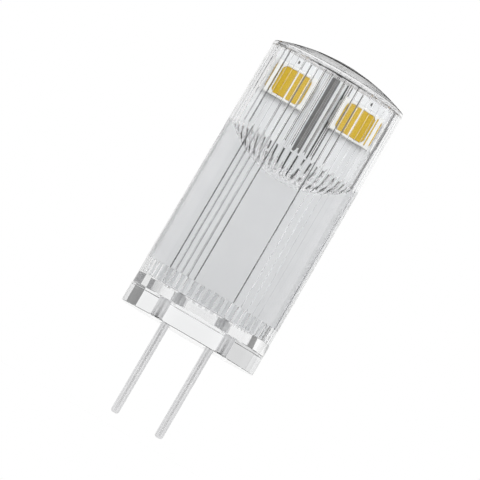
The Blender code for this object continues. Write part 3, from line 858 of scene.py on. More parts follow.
class MeniscusTree(ShapeTree):
    """The tree of the space above the silicone.

    Its underside is the silicone's surface: it climbs the wall and the board, sags between them, and climbs
    further in every groove, so that ripples fan out from the wall.

    Attributes:
        COLUMNS: The sheet's points across the lamp.
        ROWS: Its points from front to back.
        RIM_ROWS: The rows that run on at the board's level and at the wall's.
        LAST_COLUMN: Beyond this share of the width, a point lies outside the wall.
        LAST_ROW: Beyond this share of the depth, a point lies outside the wall.
        LEAST_DEPTH: How far in front of the board the sheet goes where the wall comes nearest.
    """

    COLUMNS = 337
    ROWS = 34
    RIM_ROWS = 3.0
    LAST_COLUMN = 0.4999
    LAST_ROW = 0.9999
    LEAST_DEPTH = 0.6 * MM
    SIZES = ("Level", "Sag", "Steepness", "Wall", "Front", "Back", "Ripple", "Fade", "Reach", "Rise")

    def __init__(self, grooves: int) -> None:
        """Builds the tree for a number of grooves."""
        self.grooves = grooves
        super().__init__("rippled_meniscus")

    def _shape(self, graph: Graph, start: dict[str, Wire]) -> Wire:
        """Raises the space above the sheet.

        Args:
            graph: The tree.
            start: The tree's inputs.

        Returns:
            The closed space.
        """
        counts = {"Size X": 1.0, "Size Y": 2.0, "Vertices X": self.COLUMNS, "Vertices Y": self.ROWS}
        grid = graph.take("GeometryNodeMeshGrid", counts)
        sheet = graph.take("GeometryNodeSetPosition", {"Geometry": grid, "Position": self._place(graph, start)})
        lift = {"Mesh": sheet, "Offset": (0.0, 0.0, 1.0), "Offset Scale": start["Rise"], "Individual": False}
        return self._closed(graph, sheet, graph.take("GeometryNodeExtrudeMesh", lift))

    def _place(self, graph: Graph, start: dict[str, Wire]) -> Wire:
        """Works out where each of the sheet's points goes.

        Args:
            graph: The tree.
            start: The tree's inputs.

        Returns:
            The points' positions.
        """
        calc = graph.math
        across, along, _ = graph.axes(graph.take("GeometryNodeInputPosition"))
        turn = across * math.pi
        inner_x = start["Wall"] * calc("SINE", turn)
        x = graph.between(abs(across) > self.LAST_COLUMN, inner_x, start["Reach"] * calc("SIGN", across))
        half, away = calc("SIGN", along), abs(along)
        row = 1.0 / (self.ROWS - 1)
        share = (away - row) / (1.0 - self.RIM_ROWS * row)
        share = calc("MINIMUM", calc("MAXIMUM", share, 0.0), 1.0)
        wall_y = calc("MAXIMUM", start["Wall"] * calc("COSINE", turn), self.LEAST_DEPTH - start["Front"])
        middle = (start["Back"] - start["Front"]) * 0.5
        centre = (start["Back"] + start["Front"]) * 0.5
        board = calc("MULTIPLY_ADD", half, centre, middle)
        out = graph.between(share, board, wall_y)
        y = half * graph.between(away > self.LAST_ROW, out, start["Reach"])
        width = 1.0 - calc("SINE", turn) ** 2.0
        bowl = share * 4.0 * (1.0 - share)
        sag = start["Sag"] * width * bowl ** start["Steepness"]
        crest = calc("COSINE", calc("ARCTAN2", inner_x, half * out) * float(self.grooves))
        near = calc("MAXIMUM", (share - start["Fade"]) / (1.0 - start["Fade"]), 0.0)
        z = start["Level"] - sag + crest * near * start["Ripple"]
        return graph.take("ShaderNodeCombineXYZ", {"X": x, "Y": y, "Z": z})


@dataclass(frozen=True)
class Meniscus:
    """The silicone's surface, which climbs the wall and the board and sags between them.

    Attributes:
        level: The height of the contact line.
        sag: How far the middle hangs below it.
        steepness: The power of the climb at the wall.
        wall: The radius at which it meets the wall.
        front: The Y of the board's front face.
        back: The Y of the board's back face.
        ripple: Half the height of the ripples at the wall.
        fade: The share of the way to the wall where the ripples start.
        reach: How far the sheet goes beyond the wall.
        rise: How tall the space above it is.
    """

    level: float = 16.75 * MM
    sag: float = 2.65 * MM
    steepness: float = 0.75
    wall: float = 5.22 * MM
    front: float = -1.18 * MM
    back: float = -0.38 * MM
    ripple: float = 0.2 * MM
    fade: float = 0.4
    reach: float = 6.2 * MM
    rise: float = 8.0 * MM

    def space(self, grooves: int, look: bpy.types.Material) -> bpy.types.Object:
        """Makes the space above the surface, as a closed solid.

        Args:
            grooves: How many grooves the wall has.
            look: The material of the surface.

        Returns:
            The solid.
        """
        sizes = {label: getattr(self, label.lower()) for label in MeniscusTree.SIZES}
        solid = MeniscusTree(grooves).make("meniscus_space", [Vector()], sizes, look)
        with reshaped(solid.data) as shape:
            bmesh.ops.recalc_face_normals(shape, faces=shape.faces)
            bmesh.ops.triangulate(shape, faces=shape.faces)
        return solid


@dataclass
class ClearParts:
    """The clear cover, the clear base plug and the clear filling.

    Attributes:
        bore: The cover's bore.
        meniscus: The silicone's surface.
        indices: The indices of refraction.
        wet_groove_shades: The grooves where a layer of air is trapped behind the silicone, which get painted
            shade.
        dry_groove_shades: The grooves above it that get painted shade, so that they show as dark lines.
        cut_step: The spacing of the cuts that let wet and dry wall meet along the contact line.
        cut_range: The lowest and highest such cut.
        headroom: How far the silicone's blank stands above the contact line.
        seam: The height of the flange's top.
        spigot: The spigot's radius.
        bond_slack: How far off the spigot's radius a bonded face may lie.
        pin_pitch: The distance between the pins' axes.
        pin_hole: The radius within which the plug's faces grip a pin.
        dark_patch_turn: The dark patch's two directions from the front centre, in degrees.
        dark_patch_top: The dark patch's upper end.
        touch: How near the silicone a wet face is.
    """

    bore: Bore = field(default_factory=Bore)
    meniscus: Meniscus = field(default_factory=Meniscus)
    indices: ClearSet = field(default_factory=ClearSet)
    wet_groove_shades: dict[int, Boundary] = field(
        default_factory=lambda: {
            **dict.fromkeys((-7, -3, 3, 24, -25), Boundary.GROOVE_SHADE),
            **dict.fromkeys((-6, -5, -4, 12, 17, -19), Boundary.THIN_GROOVE_SHADE),
        }
    )
    dry_groove_shades: dict[int, Boundary] = field(
        default_factory=lambda: {-9: Boundary.THIN_GROOVE_SHADE, -8: Boundary.GROOVE_SHADE, 3: Boundary.GROOVE_SHADE}
    )
    cut_step: float = 0.15 * MM
    cut_range: tuple[float, float] = (14.9 * MM, 17.15 * MM)
    headroom: float = 1.0 * MM
    seam: float = 1.7 * MM
    spigot: float = 5.18 * MM
    bond_slack: float = 0.25 * MM
    pin_pitch: float = 4.0 * MM
    pin_hole: float = 0.5 * MM
    dark_patch_turn: tuple[float, float] = (-80.0, -62.0)
    dark_patch_top: float = 2.65 * MM
    touch: float = 0.1 * MM

    def build(self, effects: Effects) -> None:
        """Builds all three.

        Args:
            effects: The shared node groups.
        """
        plastic = {key: item.material(effects) for key, item in self.indices.plastic_finishes().items()}
        silicone = {key: item.material(effects) for key, item in self.indices.silicone_finishes().items()}
        self.silicone = self._filling(silicone)
        cover = welded_copy("bulb_cover", "bulb_cover_clear")
        self._cut(cover)
        self._dress(cover, plastic, self._cover_boundary)
        self._round_lands(cover)
        settle(cover, ["bulb_cover"])
        plug = welded_copy("base_plug", "base_plug_clear")
        plug_air = self.indices.plug_finish().material(effects)
        self._dress(plug, {**plastic, Boundary.AIR: plug_air}, self._plug_boundary)
        settle(plug, ["base_plug"])

    def _filling(self, looks: dict[Boundary, bpy.types.Material]) -> BVHTree:
        """Casts the filling: a grooved blank round the board and its parts, under the rippled surface.

        Args:
            looks: The silicone's materials.

        Returns:
            The filling's faces, for finding what they touch.
        """
        mesh = bpy.data.meshes.new("clear_filling_poured")
        with reshaped(mesh) as shape:
            shape.faces.new([shape.verts.new((x, y, self.bore.tooth_head)) for x, y in self.bore.outline()])
            raised = bmesh.ops.extrude_face_region(shape, geom=shape.faces[:])["geom"]
            for vertex in (item for item in raised if isinstance(item, bmesh.types.BMVert)):
                vertex.co.z = self.meniscus.level + self.headroom
            bmesh.ops.recalc_face_normals(shape, faces=shape.faces)
        filling = placed("clear_filling_poured", mesh)
        mesh.materials.append(looks[Boundary.BONDED])
        hollows = bpy.data.collections.new("filling_hollows")
        clear = ("bulb_cover", "base_plug", "clear_filling")
        for name in (name for name in frame["nodes"] if name not in clear and not name.startswith("led_")):
            hollows.objects.link(self._hollow(name, looks[Boundary.BONDED]))
        space = self.meniscus.space(self.bore.grooves, looks[Boundary.AIR])
        way = {"operation": "DIFFERENCE", "solver": "EXACT", "material_mode": "TRANSFER"}
        for label, operand in (
            ("hollows", {"operand_type": "COLLECTION", "collection": hollows}),
            ("surface", {"object": space}),
        ):
            modifier = filling.modifiers.new(label, "BOOLEAN")
            for name, value in {**way, **operand}.items():
                setattr(modifier, name, value)
        graph = bpy.context.evaluated_depsgraph_get()
        cast = bpy.data.meshes.new_from_object(filling.evaluated_get(graph))
        filling.modifiers.clear()
        filling.data = cast
        cast.name = "clear_filling_poured"
        for obj in [*hollows.objects, space]:
            bpy.data.objects.remove(obj)
        bpy.data.collections.remove(hollows)
        air = [look.name for look in cast.materials].index(looks[Boundary.AIR].name)
        for face in cast.polygons:
            if face.normal.z < -STEEP and face.center.z < self.bore.tooth_head + self.bore.slack:
                face.material_index = air
        creased(filling)
        settle(filling, ["clear_filling"])
        return BVHTree.FromPolygons([v.co for v in cast.vertices], [tuple(p.vertices) for p in cast.polygons])

    def _hollow(self, name: str, look: bpy.types.Material) -> bpy.types.Object:
        """Makes the room that a CAD node takes in the silicone.

        Args:
            name: The node.
            look: The material of the hollow's walls.

        Returns:
            A box round the node.
        """
        low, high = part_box(name)
        margin = Vector((self.bore.gap,) * 3)
        size = high - low + 2 * margin
        mesh = bpy.data.meshes.new(f"{name}_hollow")
        with reshaped(mesh) as shape:
            matrix = Matrix.Translation((low + high) / 2) @ Matrix.Diagonal((*size, 1))
            bmesh.ops.create_cube(shape, size=1, matrix=matrix)
        mesh.materials.append(look)
        return bpy.data.objects.new(f"{name}_hollow", mesh)

    def _cut(self, piece: bpy.types.Object) -> None:
        """Cuts the cover's faces at many heights, so that each is either wet or dry."""
        low, high = self.cut_range
        count = round((high - low) / self.cut_step)
        levels = [self.dark_patch_top, self.bore.tooth_head, *(low + self.cut_step * step for step in range(count + 1))]
        with reshaped(piece.data) as shape:
            for level in levels:
                parts = shape.verts[:] + shape.edges[:] + shape.faces[:]
                bmesh.ops.bisect_plane(shape, geom=parts, dist=WELD / 2, plane_co=(0, 0, level), plane_no=UP)

    def _dress(
        self,
        piece: bpy.types.Object,
        looks: dict[Boundary, bpy.types.Material],
        judge: Callable[[bpy.types.MeshPolygon], Boundary],
    ) -> None:
        """Gives each face the finish for what it borders on.

        Args:
            piece: The piece.
            looks: The material for each boundary.
            judge: Tells a face's boundary.
        """
        order = list(looks)
        for key in order:
            piece.data.materials.append(looks[key])
        for face in piece.data.polygons:
            face.material_index = order.index(judge(face))
        creased(piece)

    def _round_lands(self, piece: bpy.types.Object) -> None:
        """Turns the normals of the bore's flat lands to the axis, because the real lands are arcs."""
        mesh = piece.data
        normals = [Vector(corner.vector) for corner in mesh.corner_normals]
        for face in mesh.polygons:
            if self.bore.is_land(face):
                for loop in face.loop_indices:
                    place = mesh.vertices[mesh.loops[loop].vertex_index].co
                    normals[loop] = Vector((-place.x, -place.y, 0)).normalized()
        mesh.normals_split_custom_set(normals)

    def _cover_boundary(self, face: bpy.types.MeshPolygon) -> Boundary:
        """What one of the cover's faces borders on."""
        centre, normal = face.center, face.normal
        radius = math.hypot(centre.x, centre.y)
        inward = normal.x * centre.x + normal.y * centre.y < 0
        # A dark, dull patch low on the left front.
        if not inward and centre.z < self.dark_patch_top:
            low, high = self.dark_patch_turn
            marked = low < math.degrees(math.atan2(centre.x, -centre.y)) < high
            return Boundary.DARK_PATCH if marked and abs(normal.z) < STEEP else Boundary.AIR
        if not inward or abs(normal.z) > STEEP or centre.z > self.bore.ceiling:
            return Boundary.AIR
        if centre.z < self.bore.tooth_foot:
            return Boundary.BONDED
        if centre.z < self.bore.tooth_head:
            land = radius < self.bore.tip + self.bore.tooth_relief + self.bore.slack
            return Boundary.FROSTED if land else Boundary.AIR
        # Painted shade: grooves in the wet and dry tables get a dark tint.
        groove = None if self.bore.is_land(face) else self.bore.groove_at(centre.x, centre.y)
        wet = self.silicone.ray_cast(centre, normal, self.touch)[0] is not None
        if wet:
            return self.wet_groove_shades.get(groove, Boundary.SILICONE)
        return self.dry_groove_shades.get(groove, Boundary.AIR)

    def _plug_boundary(self, face: bpy.types.MeshPolygon) -> Boundary:
        """What one of the plug's faces borders on."""
        centre, normal = face.center, face.normal
        radius = math.hypot(centre.x, centre.y)
        outward = normal.x * centre.x + normal.y * centre.y > 0
        on_spigot = outward and centre.z > self.seam and abs(radius - self.spigot) < self.bond_slack
        on_pin = math.hypot(abs(centre.x) - self.pin_pitch / 2, centre.y) < self.pin_hole
        return Boundary.BONDED if (on_spigot or on_pin) and abs(normal.z) < STEEP else Boundary.AIR


@dataclass
class Pins:
    """The two contact pins, turned smoother than their CAD solids.

    Attributes:
        pitch: The distance between their axes.
        radius: Their radius.
        tip_round: The radius of their tips' rounding.
        tip: The height of their tips.
        top: The height of their upper ends.
        steps: Facets round them.
        round_steps: Facets along the rounding.
    """

    pitch: float = 4.0 * MM
    radius: float = 0.35 * MM
    tip_round: float = 0.22 * MM
    tip: float = -8.0 * MM
    top: float = 4.75 * MM
    steps: int = 48
    round_steps: int = 8

    def build(self, look: bpy.types.Material) -> None:
        """Builds both pins.

        Args:
            look: Their material.
        """
        for side in Side:
            pin = self._turn(f"contact_pin_{side.value}_drawn", side.sign * self.pitch / 2)
            pin.data.materials.append(look)
            creased(pin)
            settle(pin, [f"contact_pin_{side.value}"])

    def _turn(self, name: str, x: float) -> bpy.types.Object:
        """Turns one pin about its axis.

        Args:
            name: The piece's name.
            x: The axis's X.

        Returns:
            The pin.
        """
        inner = self.radius - self.tip_round
        angles = [math.pi / 2 * step / self.round_steps for step in range(self.round_steps + 1)]
        profile = [
            (inner + self.tip_round * math.sin(a), self.tip + self.tip_round * (1 - math.cos(a))) for a in angles
        ]
        profile.append((self.radius, self.top))
        turns = [2 * math.pi * step / self.steps for step in range(self.steps)]
        mesh = bpy.data.meshes.new(name)
        with reshaped(mesh) as shape:
            rings = [
                [shape.verts.new((x + radius * math.cos(t), radius * math.sin(t), height)) for t in turns]
                for radius, height in profile
            ]
            for low, high in zip(rings, rings[1:]):
                for step in range(self.steps):
                    after = (step + 1) % self.steps
                    shape.faces.new((low[step], low[after], high[after], high[step]))
            shape.faces.new(list(reversed(rings[0])))
            shape.faces.new(rings[-1])
            bmesh.ops.recalc_face_normals(shape, faces=shape.faces)
        return placed(name, mesh)


@dataclass(frozen=True)
class Plate:
    """A rounded flat shape on a face of the board.

    Attributes:
        x: Its centre's X.
        z: Its centre's height.
        width: Its width.
        height: Its height up the board.
    """

    x: float
    z: float
    width: float
    height: float


class PlateTree(ShapeTree):
    """The tree of closed plates with rounded corners, one on each point."""

    SIZES = ("Width", "Height", "Rise", "Corner")
    CORNER_STEPS = 4
    ON_EDGE = (math.pi / 2, 0.0, 0.0)

    def _shape(self, graph: Graph, start: dict[str, Wire]) -> Wire:
        """Stands a solid on each point, with its top towards -Y.

        Args:
            graph: The tree.
            start: The tree's inputs.

        Returns:
            The solids.
        """
        stand = {"Points": start["Geometry"], "Instance": self._solid(graph, start), "Rotation": self.ON_EDGE}
        return graph.take("GeometryNodeInstanceOnPoints", stand)

    def _solid(self, graph: Graph, start: dict[str, Wire]) -> Wire:
        """A closed plate with rounded corners.

        Args:
            graph: The tree.
            start: The tree's inputs.

        Returns:
            The plate.
        """
        size = {"Width": start["Width"], "Height": start["Height"]}
        outline = graph.take("GeometryNodeCurvePrimitiveQuadrilateral", size)
        corner = {"Curve": outline, "Radius": start["Corner"], "Count": self.CORNER_STEPS}
        rounded = graph.take("GeometryNodeFilletCurve", corner, mode="POLY")
        flat = graph.take("GeometryNodeFillCurve", {"Curve": rounded})
        raised = graph.take("GeometryNodeExtrudeMesh", {"Mesh": flat, "Offset Scale": start["Rise"]})
        return self._closed(graph, flat, raised)


class BeadTree(PlateTree):
    """The tree of solder beads, one on each point."""

    SIZES = ("Width", "Height", "Rise")
    BALL = {"Segments": 24, "Rings": 12, "Radius": 1.0}

    def _solid(self, graph: Graph, start: dict[str, Wire]) -> Wire:
        """A ball whose lower half is pressed flat.

        Args:
            graph: The tree.
            start: The tree's inputs.

        Returns:
            The bead.
        """
        ball = graph.take("GeometryNodeMeshUVSphere", self.BALL)
        x, y, z = graph.axes(graph.take("GeometryNodeInputPosition"))
        moved = {
            "X": x * (start["Width"] * 0.5),
            "Y": y * (start["Height"] * 0.5),
            "Z": graph.math("MAXIMUM", z, 0.0) * start["Rise"],
        }
        place = graph.take("ShaderNodeCombineXYZ", moved)
        pressed = graph.take("GeometryNodeSetPosition", {"Geometry": ball, "Position": place})
        return graph.take("GeometryNodeSetShadeSmooth", {0: pressed})


@dataclass
class Board:
    """The circuit board's finish, its strip and lines of painted shade, its dark dots, its pads and its solder.

    Attributes:
        copper: The height above the board of the pads, the strip and lines of painted shade, and the dark dots.
        strip: The dark strip of painted shade above the silicone, between the front LEDs.
        lines: The X of each dark line of painted shade beside it.
        line_width: The dark lines' width.
        faint_shade_lines: The X of each paler line of painted shade on its other side.
        faint_width: The pale lines' width.
        dot_size: The diameter of the dark dots high on the board's front.
        dot_places: The X and the height of each dot.
        disc_rounding: A disc's width by its rounding, just over 2 so that its corners don't meet.
        pad_corner: The rounding of pads.
        led_pad: The width and the height of the pads at the LEDs' outer ends.
        pad_out: How far a pad's middle is beyond the lead's end.
        bead_share: The share of a pad's height that its solder takes.
        bead_rise: How far solder rises beside an LED's lead.
    """

    copper: float = 0.012 * MM
    strip: Plate = Plate(-0.06 * MM, 20.15 * MM, 0.68 * MM, 6.45 * MM)
    lines: tuple[float, ...] = (0.66 * MM, 0.98 * MM, 1.32 * MM)
    line_width: float = 0.13 * MM
    faint_shade_lines: tuple[float, ...] = (-1.02 * MM, -0.87 * MM, -0.72 * MM, -0.57 * MM)
    faint_width: float = 0.045 * MM
    dot_size: float = 0.27 * MM
    dot_places: tuple[tuple[float, float], ...] = ((-3.3 * MM, 23.03 * MM), (3.3 * MM, 23.03 * MM))
    disc_rounding: float = 2.01
    pad_corner: float = 0.05 * MM
    led_pad: tuple[float, float] = (0.2 * MM, 1.9 * MM)
    pad_out: float = 0.03 * MM
    bead_share: float = 0.92
    bead_rise: float = 0.07 * MM

    def build(self, surfaces: Surfaces) -> None:
        """Dresses the board and puts on it its pads, its solder, its strip and lines of painted shade and its dark
        dots.

        Args:
            surfaces: The opaque materials.
        """
        surfaces.dress("solder_mask", ["circuit_board"])
        low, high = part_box("circuit_board")
        self.faces = {Facing.FRONT: low.y, Facing.BACK: high.y}
        plates = PlateTree("rounded_plates")
        beads = BeadTree("solder_beads")
        # Painted shade: a dark strip between the front LEDs, above the silicone.
        self._plates(plates, "shade_strip", Facing.FRONT, [self.strip], surfaces.made["shade_strip"])
        # Painted shade: dark and paler lines beside the strip, as tall as it.
        for name, places, width, look in (
            ("painted_shade_lines", self.lines, self.line_width, "painted_shade_line"),
            ("faint_shade_lines", self.faint_shade_lines, self.faint_width, "faint_painted_shade_line"),
        ):
            rows = [Plate(x, self.strip.z, width, self.strip.height) for x in places]
            self._plates(plates, name, Facing.FRONT, rows, surfaces.made[look])
        # Small dark dots high on the board's front.
        discs = [Plate(x, z, self.dot_size, self.dot_size) for x, z in self.dot_places]
        rounding = self.dot_size / self.disc_rounding
        self._plates(plates, "dark_dots", Facing.FRONT, discs, surfaces.made["epoxy"], rounding)
        pads = []
        for side in Side:
            shell_low, shell_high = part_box(f"led_front_{side.value}_lead_outer")
            outer = shell_high.x if side is Side.RIGHT else shell_low.x
            middle = (shell_low.z + shell_high.z) / 2
            pads.append(Plate(outer + side.sign * self.pad_out, middle, *self.led_pad))
        for facing in Facing:
            name = f"led_{facing.value}_pads"
            self._plates(plates, name, facing, pads, surfaces.made["tinned"])
            points = [Vector((pad.x, self._lift(facing), pad.z)) for pad in pads]
            sizes = {
                "Width": self.led_pad[0],
                "Height": self.led_pad[1] * self.bead_share,
                "Rise": self.bead_rise * -facing.outward,
            }
            self._beads(beads, f"led_{facing.value}_solder", points, sizes, surfaces.made["solder"])

    def _lift(self, facing: Facing) -> float:
        """The Y of a pad's outer face."""
        return self.faces[facing] + facing.outward * self.copper

    def _plates(
        self,
        tree: PlateTree,
        name: str,
        facing: Facing,
        plates: Sequence[Plate],
        look: bpy.types.Material,
        corner: float | None = None,
    ) -> None:
        """Makes plates of one size on a face of the board.

        Args:
            tree: The tree for plates.
            name: The piece's name.
            facing: The face.
            plates: The plates, all of one size.
            look: Their material.
            corner: Their rounding, or None for a small one.
        """
        size = plates[0]
        base = self.faces[facing] + (0 if facing is Facing.FRONT else self.copper)
        sizes = {
            "Width": size.width,
            "Height": size.height,
            "Rise": self.copper,
            "Corner": corner or min(self.pad_corner, size.width / 3),
        }
        points = [Vector((plate.x, base, plate.z)) for plate in plates]
        settle(tree.make(name, points, sizes, look))

    def _beads(
        self,
        tree: BeadTree,
        name: str,
        points: Sequence[Vector],
        sizes: dict[str, float],
        look: bpy.types.Material,
    ) -> None:
        """Makes domes of solder.

        Args:
            tree: The tree for domes.
            name: The piece's name.
            points: Where they stand.
            sizes: Their sizes.
            look: Their material.
        """
        piece = tree.make(name, points, sizes, look)
        with reshaped(piece.data) as shape:
            bmesh.ops.recalc_face_normals(shape, faces=shape.faces)
        settle(piece)


class Leds:
    """The four LEDs."""

    def build(self, surfaces: Surfaces) -> None:
        """Dresses the housings, the phosphors and the leads.

        Args:
            surfaces: The opaque materials.
        """
        names = [f"led_{facing.value}_{side.value}" for facing in Facing for side in Side]
        surfaces.dress("housing", [f"{name}_housing" for name in names])
        surfaces.dress("phosphor", [f"{name}_phosphor" for name in names])
        surfaces.dress("silvered", [f"{name}_lead_{end}" for name in names for end in ("outer", "inner")])
        log.info("LEDs dressed: %d", len(names))


@dataclass
class Driver:
    """The driver's components on the board's back.

    Attributes:
        lead_count: The driver's leads.
    """

    lead_count: int = 3

    def build(self, surfaces: Surfaces) -> None:
        """Dresses the components.

        Args:
            surfaces: The opaque materials.
        """
        sides = [side.value for side in Side]
        surfaces.dress("epoxy", ["rectifier_body", "driver_body", *(f"resistor_{side}" for side in sides)])
        surfaces.dress("ceramic", [f"capacitor_{side}" for side in sides])
        surfaces.dress("solder", [f"solder_joint_{side}" for side in sides])
        rows = [f"rectifier_lead_{row}_{side}" for row in ("lower", "upper") for side in sides]
        leads = [f"driver_lead_{number + 1}" for number in range(self.lead_count)]
        surfaces.dress("tinned", [*rows, *leads, "driver_tab"])


@dataclass(frozen=True)
class DarkCard:
    """A soft dark patch of the studio that shows in the clear parts.

    Attributes:
        azimuth: Its direction from +Y towards +X, in degrees.
        elevation: Its height above the horizon, in degrees.
        core: The half angle of its full depth.
        reach: The half angle where it ends.
        depth: How much light it takes away.
    """

    azimuth: float
    elevation: float
    core: float
    reach: float
    depth: float

    @property
    def axis(self) -> Triple:
        """The direction of its middle."""
        turn, rise = math.radians(self.azimuth), math.radians(self.elevation)
        return (math.sin(turn) * math.cos(rise), math.cos(turn) * math.cos(rise), math.sin(rise))

    def light(self, graph: Graph, toward: Wire) -> Wire:
        """Shades the white round the object.

        Args:
            graph: The world's tree.
            toward: The direction.

        Returns:
            The share of the light that the card leaves.
        """
        facing = graph.take("ShaderNodeVectorMath", {0: toward, 1: self.axis}, "Value", operation="DOT_PRODUCT")
        outer, inner = (math.cos(math.radians(angle)) for angle in (self.reach, self.core))
        return graph.ramp(facing, outer, inner, 1.0, 1.0 - self.depth, "SMOOTHSTEP")


@dataclass(frozen=True)
class DarkPanel:
    """A dark panel of the studio with sharp edges, which shows in the clear parts.

    Attributes:
        left: The direction of its one side, from +Y towards +X in degrees.
        right: The direction of its other side.
        depth: How much light it takes away.
        low: The height of its lower edge above the horizon, in degrees.
        high: The height of its upper edge.
    """

    left: float
    right: float
    depth: float
    low: float = -90.0
    high: float = 90.0

    def light(self, graph: Graph, toward: Wire) -> Wire:
        """Shades the white round the object.

        Args:
            graph: The world's tree.
            toward: The direction.

        Returns:
            The share of the light that the panel leaves.
        """
        x, y, z = graph.axes(toward)
        turn = graph.math("ARCTAN2", x, y)
        low, high = (math.sin(math.radians(angle)) for angle in (self.low, self.high))
        beside = (turn > math.radians(self.left)) * (turn < math.radians(self.right))
        return graph.math("MULTIPLY_ADD", beside * (z > low) * (z < high), -self.depth, 1.0)


@dataclass(frozen=True)
class SoftLamp:
    """A soft square lamp, which lights the object and isn't seen in it.

    Attributes:
        name: The lamp's name.
        power: Its power in watts.
        size: Its side in millimetres.
        place: Where it stands, in millimetres.
    """

    name: str
    power: float
    size: float
    place: Triple

    def hang(self, aim: Vector) -> None:
        """Adds the lamp, turned towards a place."""
        data = bpy.data.lights.new(self.name, "AREA")
        data.energy = self.power
        data.size = self.size * MM
        lamp = bpy.data.objects.new(self.name, data)
        bpy.context.scene.collection.objects.link(lamp)
        lamp.location = Vector(self.place) * MM
        lamp.rotation_euler = (aim - lamp.location).to_track_quat("-Z", "Y").to_euler()
        lamp.visible_glossy = False
        lamp.visible_transmission = False


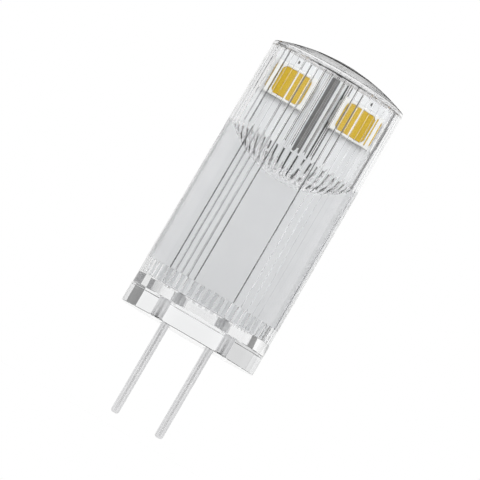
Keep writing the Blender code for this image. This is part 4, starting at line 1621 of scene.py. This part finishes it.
@dataclass
class Studio:
    """The camera, the lamps, the pale floor and the white surroundings.

    Attributes:
        eye: Where the camera stands.
        target: What it looks at.
        roll: How far the lamp leans in the picture, in degrees.
        lens: The focal length in millimetres.
        clip: The nearest distance that the camera sees.
        patches: The dark cards and panels.
        lamps: The lamps.
        aim: Where the lamps point.
        bounces: How often light may bounce, by Cycles's own names.
        floor_radius: The floor's radius.
        floor_steps: The sides of its outline.
        floor_fade: The radii between which the floor turns into plain white.
        floor_low: The floor's colour where its grain is low.
        floor_high: Its colour where the grain is high.
        floor_grain: The scale of its grain.
        floor_drop: How far the floor is below the camera, so that it is seen edge on.
        floor_glow: The share of the floor's white that shadows don't darken.
    """

    eye: Vector = field(default_factory=lambda: Vector((-0.27, -342.5, -9.0)) * MM)
    target: Vector = field(default_factory=lambda: Vector((-0.27, 0.0, 8.8)) * MM)
    roll: float = 30.3
    lens: float = 325.0
    clip: float = 0.01
    patches: tuple[DarkCard | DarkPanel, ...] = (
        DarkCard(180, 0, 14, 45, 0.85),
        DarkCard(0, 70, 25, 50, 0.5),
        DarkCard(-97, 0, 6, 22, 0.6),
        DarkCard(97, 0, 6, 24, 0.5),
        DarkPanel(41, 61, 0.75),
        DarkPanel(-50, -18, 0.22),
        DarkPanel(-60, 60, 0.97, low=9, high=52),
    )
    lamps: tuple[SoftLamp, ...] = (
        SoftLamp("key_lamp", 0.7, 200, (-150, -250, 250)),
        SoftLamp("fill_lamp", 4.55, 400, (150, -500, 100)),
        SoftLamp("rim_lamp_left", 1.8, 200, (-350, 250, 150)),
        SoftLamp("rim_lamp_right", 1.8, 200, (350, 250, 150)),
    )
    aim: Vector = field(default_factory=lambda: Vector((0, 0, 10 * MM)))
    bounces: dict[str, int] = field(
        default_factory=lambda: {
            "max_bounces": 32,
            "transmission_bounces": 32,
            "glossy_bounces": 16,
            "diffuse_bounces": 4,
            "transparent_max_bounces": 64,
        }
    )
    floor_radius: float = 150 * MM
    floor_steps: int = 96
    floor_fade: tuple[float, float] = (25 * MM, 110 * MM)
    floor_low: Colour = (0.44, 0.44, 0.44)
    floor_high: Colour = (0.46, 0.46, 0.46)
    floor_grain: float = 60.0
    floor_drop: float = 0.01 * MM
    floor_glow: float = 0.5

    def build(self) -> None:
        """Builds the studio."""
        self._camera()
        self._world()
        for lamp in self.lamps:
            lamp.hang(self.aim)
        self._floor()
        scene = bpy.context.scene
        scene.view_settings.view_transform = "Standard"
        for name, count in self.bounces.items():
            setattr(scene.cycles, name, count)
        scene.cycles.caustics_refractive = False
        scene.cycles.caustics_reflective = False

    def _camera(self) -> None:
        """Sets the camera, rolled by the lamp's lean."""
        data = bpy.data.cameras.new("photo_camera")
        data.lens = self.lens
        data.clip_start = self.clip
        camera = bpy.data.objects.new("photo_camera", data)
        bpy.context.scene.collection.objects.link(camera)
        ahead = (self.target - self.eye).normalized()
        level = ahead.cross(UP).normalized()
        above = level.cross(ahead)
        lean = math.radians(self.roll)
        right = math.cos(lean) * level + math.sin(lean) * above
        top = math.cos(lean) * above - math.sin(lean) * level
        matrix = Matrix((right, top, -ahead)).transposed().to_4x4()
        matrix.translation = self.eye
        camera.matrix_world = matrix
        bpy.context.scene.camera = camera

    def _world(self) -> None:
        """Surrounds the object with white, in which the dark patches are seen only in its surfaces."""
        world = bpy.data.worlds.new("white_studio")
        world.use_nodes = True
        bpy.context.scene.world = world
        world.node_tree.nodes.clear()
        graph = Graph(world.node_tree)
        toward = graph.take("ShaderNodeTexCoord", output="Generated")
        level = 1.0
        for patch in self.patches:
            level = graph.math("MULTIPLY", level, patch.light(graph, toward))
        grey = graph.take("ShaderNodeCombineColor", {0: level, 1: level, 2: level})
        ways = {
            0: graph.take("ShaderNodeLightPath", output="Is Camera Ray"),
            1: graph.take("ShaderNodeBackground", {0: grey}),
            2: graph.take("ShaderNodeBackground", {0: WHITE}),
        }
        graph.add("ShaderNodeOutputWorld", {0: graph.take("ShaderNodeMixShader", ways)})

    def _floor(self) -> None:
        """Lays a pale round floor, which is white to the camera and keeps the object's shadow."""
        mesh = bpy.data.meshes.new("floor")
        middle = Matrix.Translation((0, 0, self.eye.z - self.floor_drop))
        with reshaped(mesh) as shape:
            bmesh.ops.create_circle(
                shape, cap_ends=True, segments=self.floor_steps, radius=self.floor_radius, matrix=middle
            )
        floor = placed("floor", mesh)
        look, graph, _ = blank_look("pale_floor")
        look.node_tree.nodes.clear()
        where = graph.take("ShaderNodeTexCoord", output="Object")
        tone = graph.blend(graph.noise(where, self.floor_grain, 2.0), self.floor_low, self.floor_high)
        path = {socket.name: Wire(graph, socket) for socket in graph.add("ShaderNodeLightPath").outputs}
        away = graph.take("ShaderNodeVectorMath", {0: where}, "Value", operation="LENGTH")
        plainness = graph.ramp(away, *self.floor_fade, self.floor_glow, 1.0, "SMOOTHSTEP")
        direct = graph.math("MAXIMUM", path["Is Camera Ray"], path["Is Glossy Ray"])
        ways = {
            0: graph.math("MAXIMUM", direct * plainness, path["Is Transmission Ray"]),
            1: graph.take("ShaderNodeBsdfDiffuse", {"Color": tone}),
            2: graph.take("ShaderNodeEmission", {"Color": WHITE, "Strength": 1.0}),
        }
        graph.add("ShaderNodeOutputMaterial", {0: graph.take("ShaderNodeMixShader", ways)})
        mesh.materials.append(look)


def main() -> None:
    """Builds the lamp's looks and the studio."""
    logging.basicConfig(level=logging.INFO, format="%(name)s: %(message)s")
    effects = Effects()
    surfaces = Surfaces(effects)
    ClearParts().build(effects)
    Pins().build(surfaces.made["pin"])
    Board().build(surfaces)
    Leds().build(surfaces)
    Driver().build(surfaces)
    Studio().build()


if __name__ == "__main__":
    main()
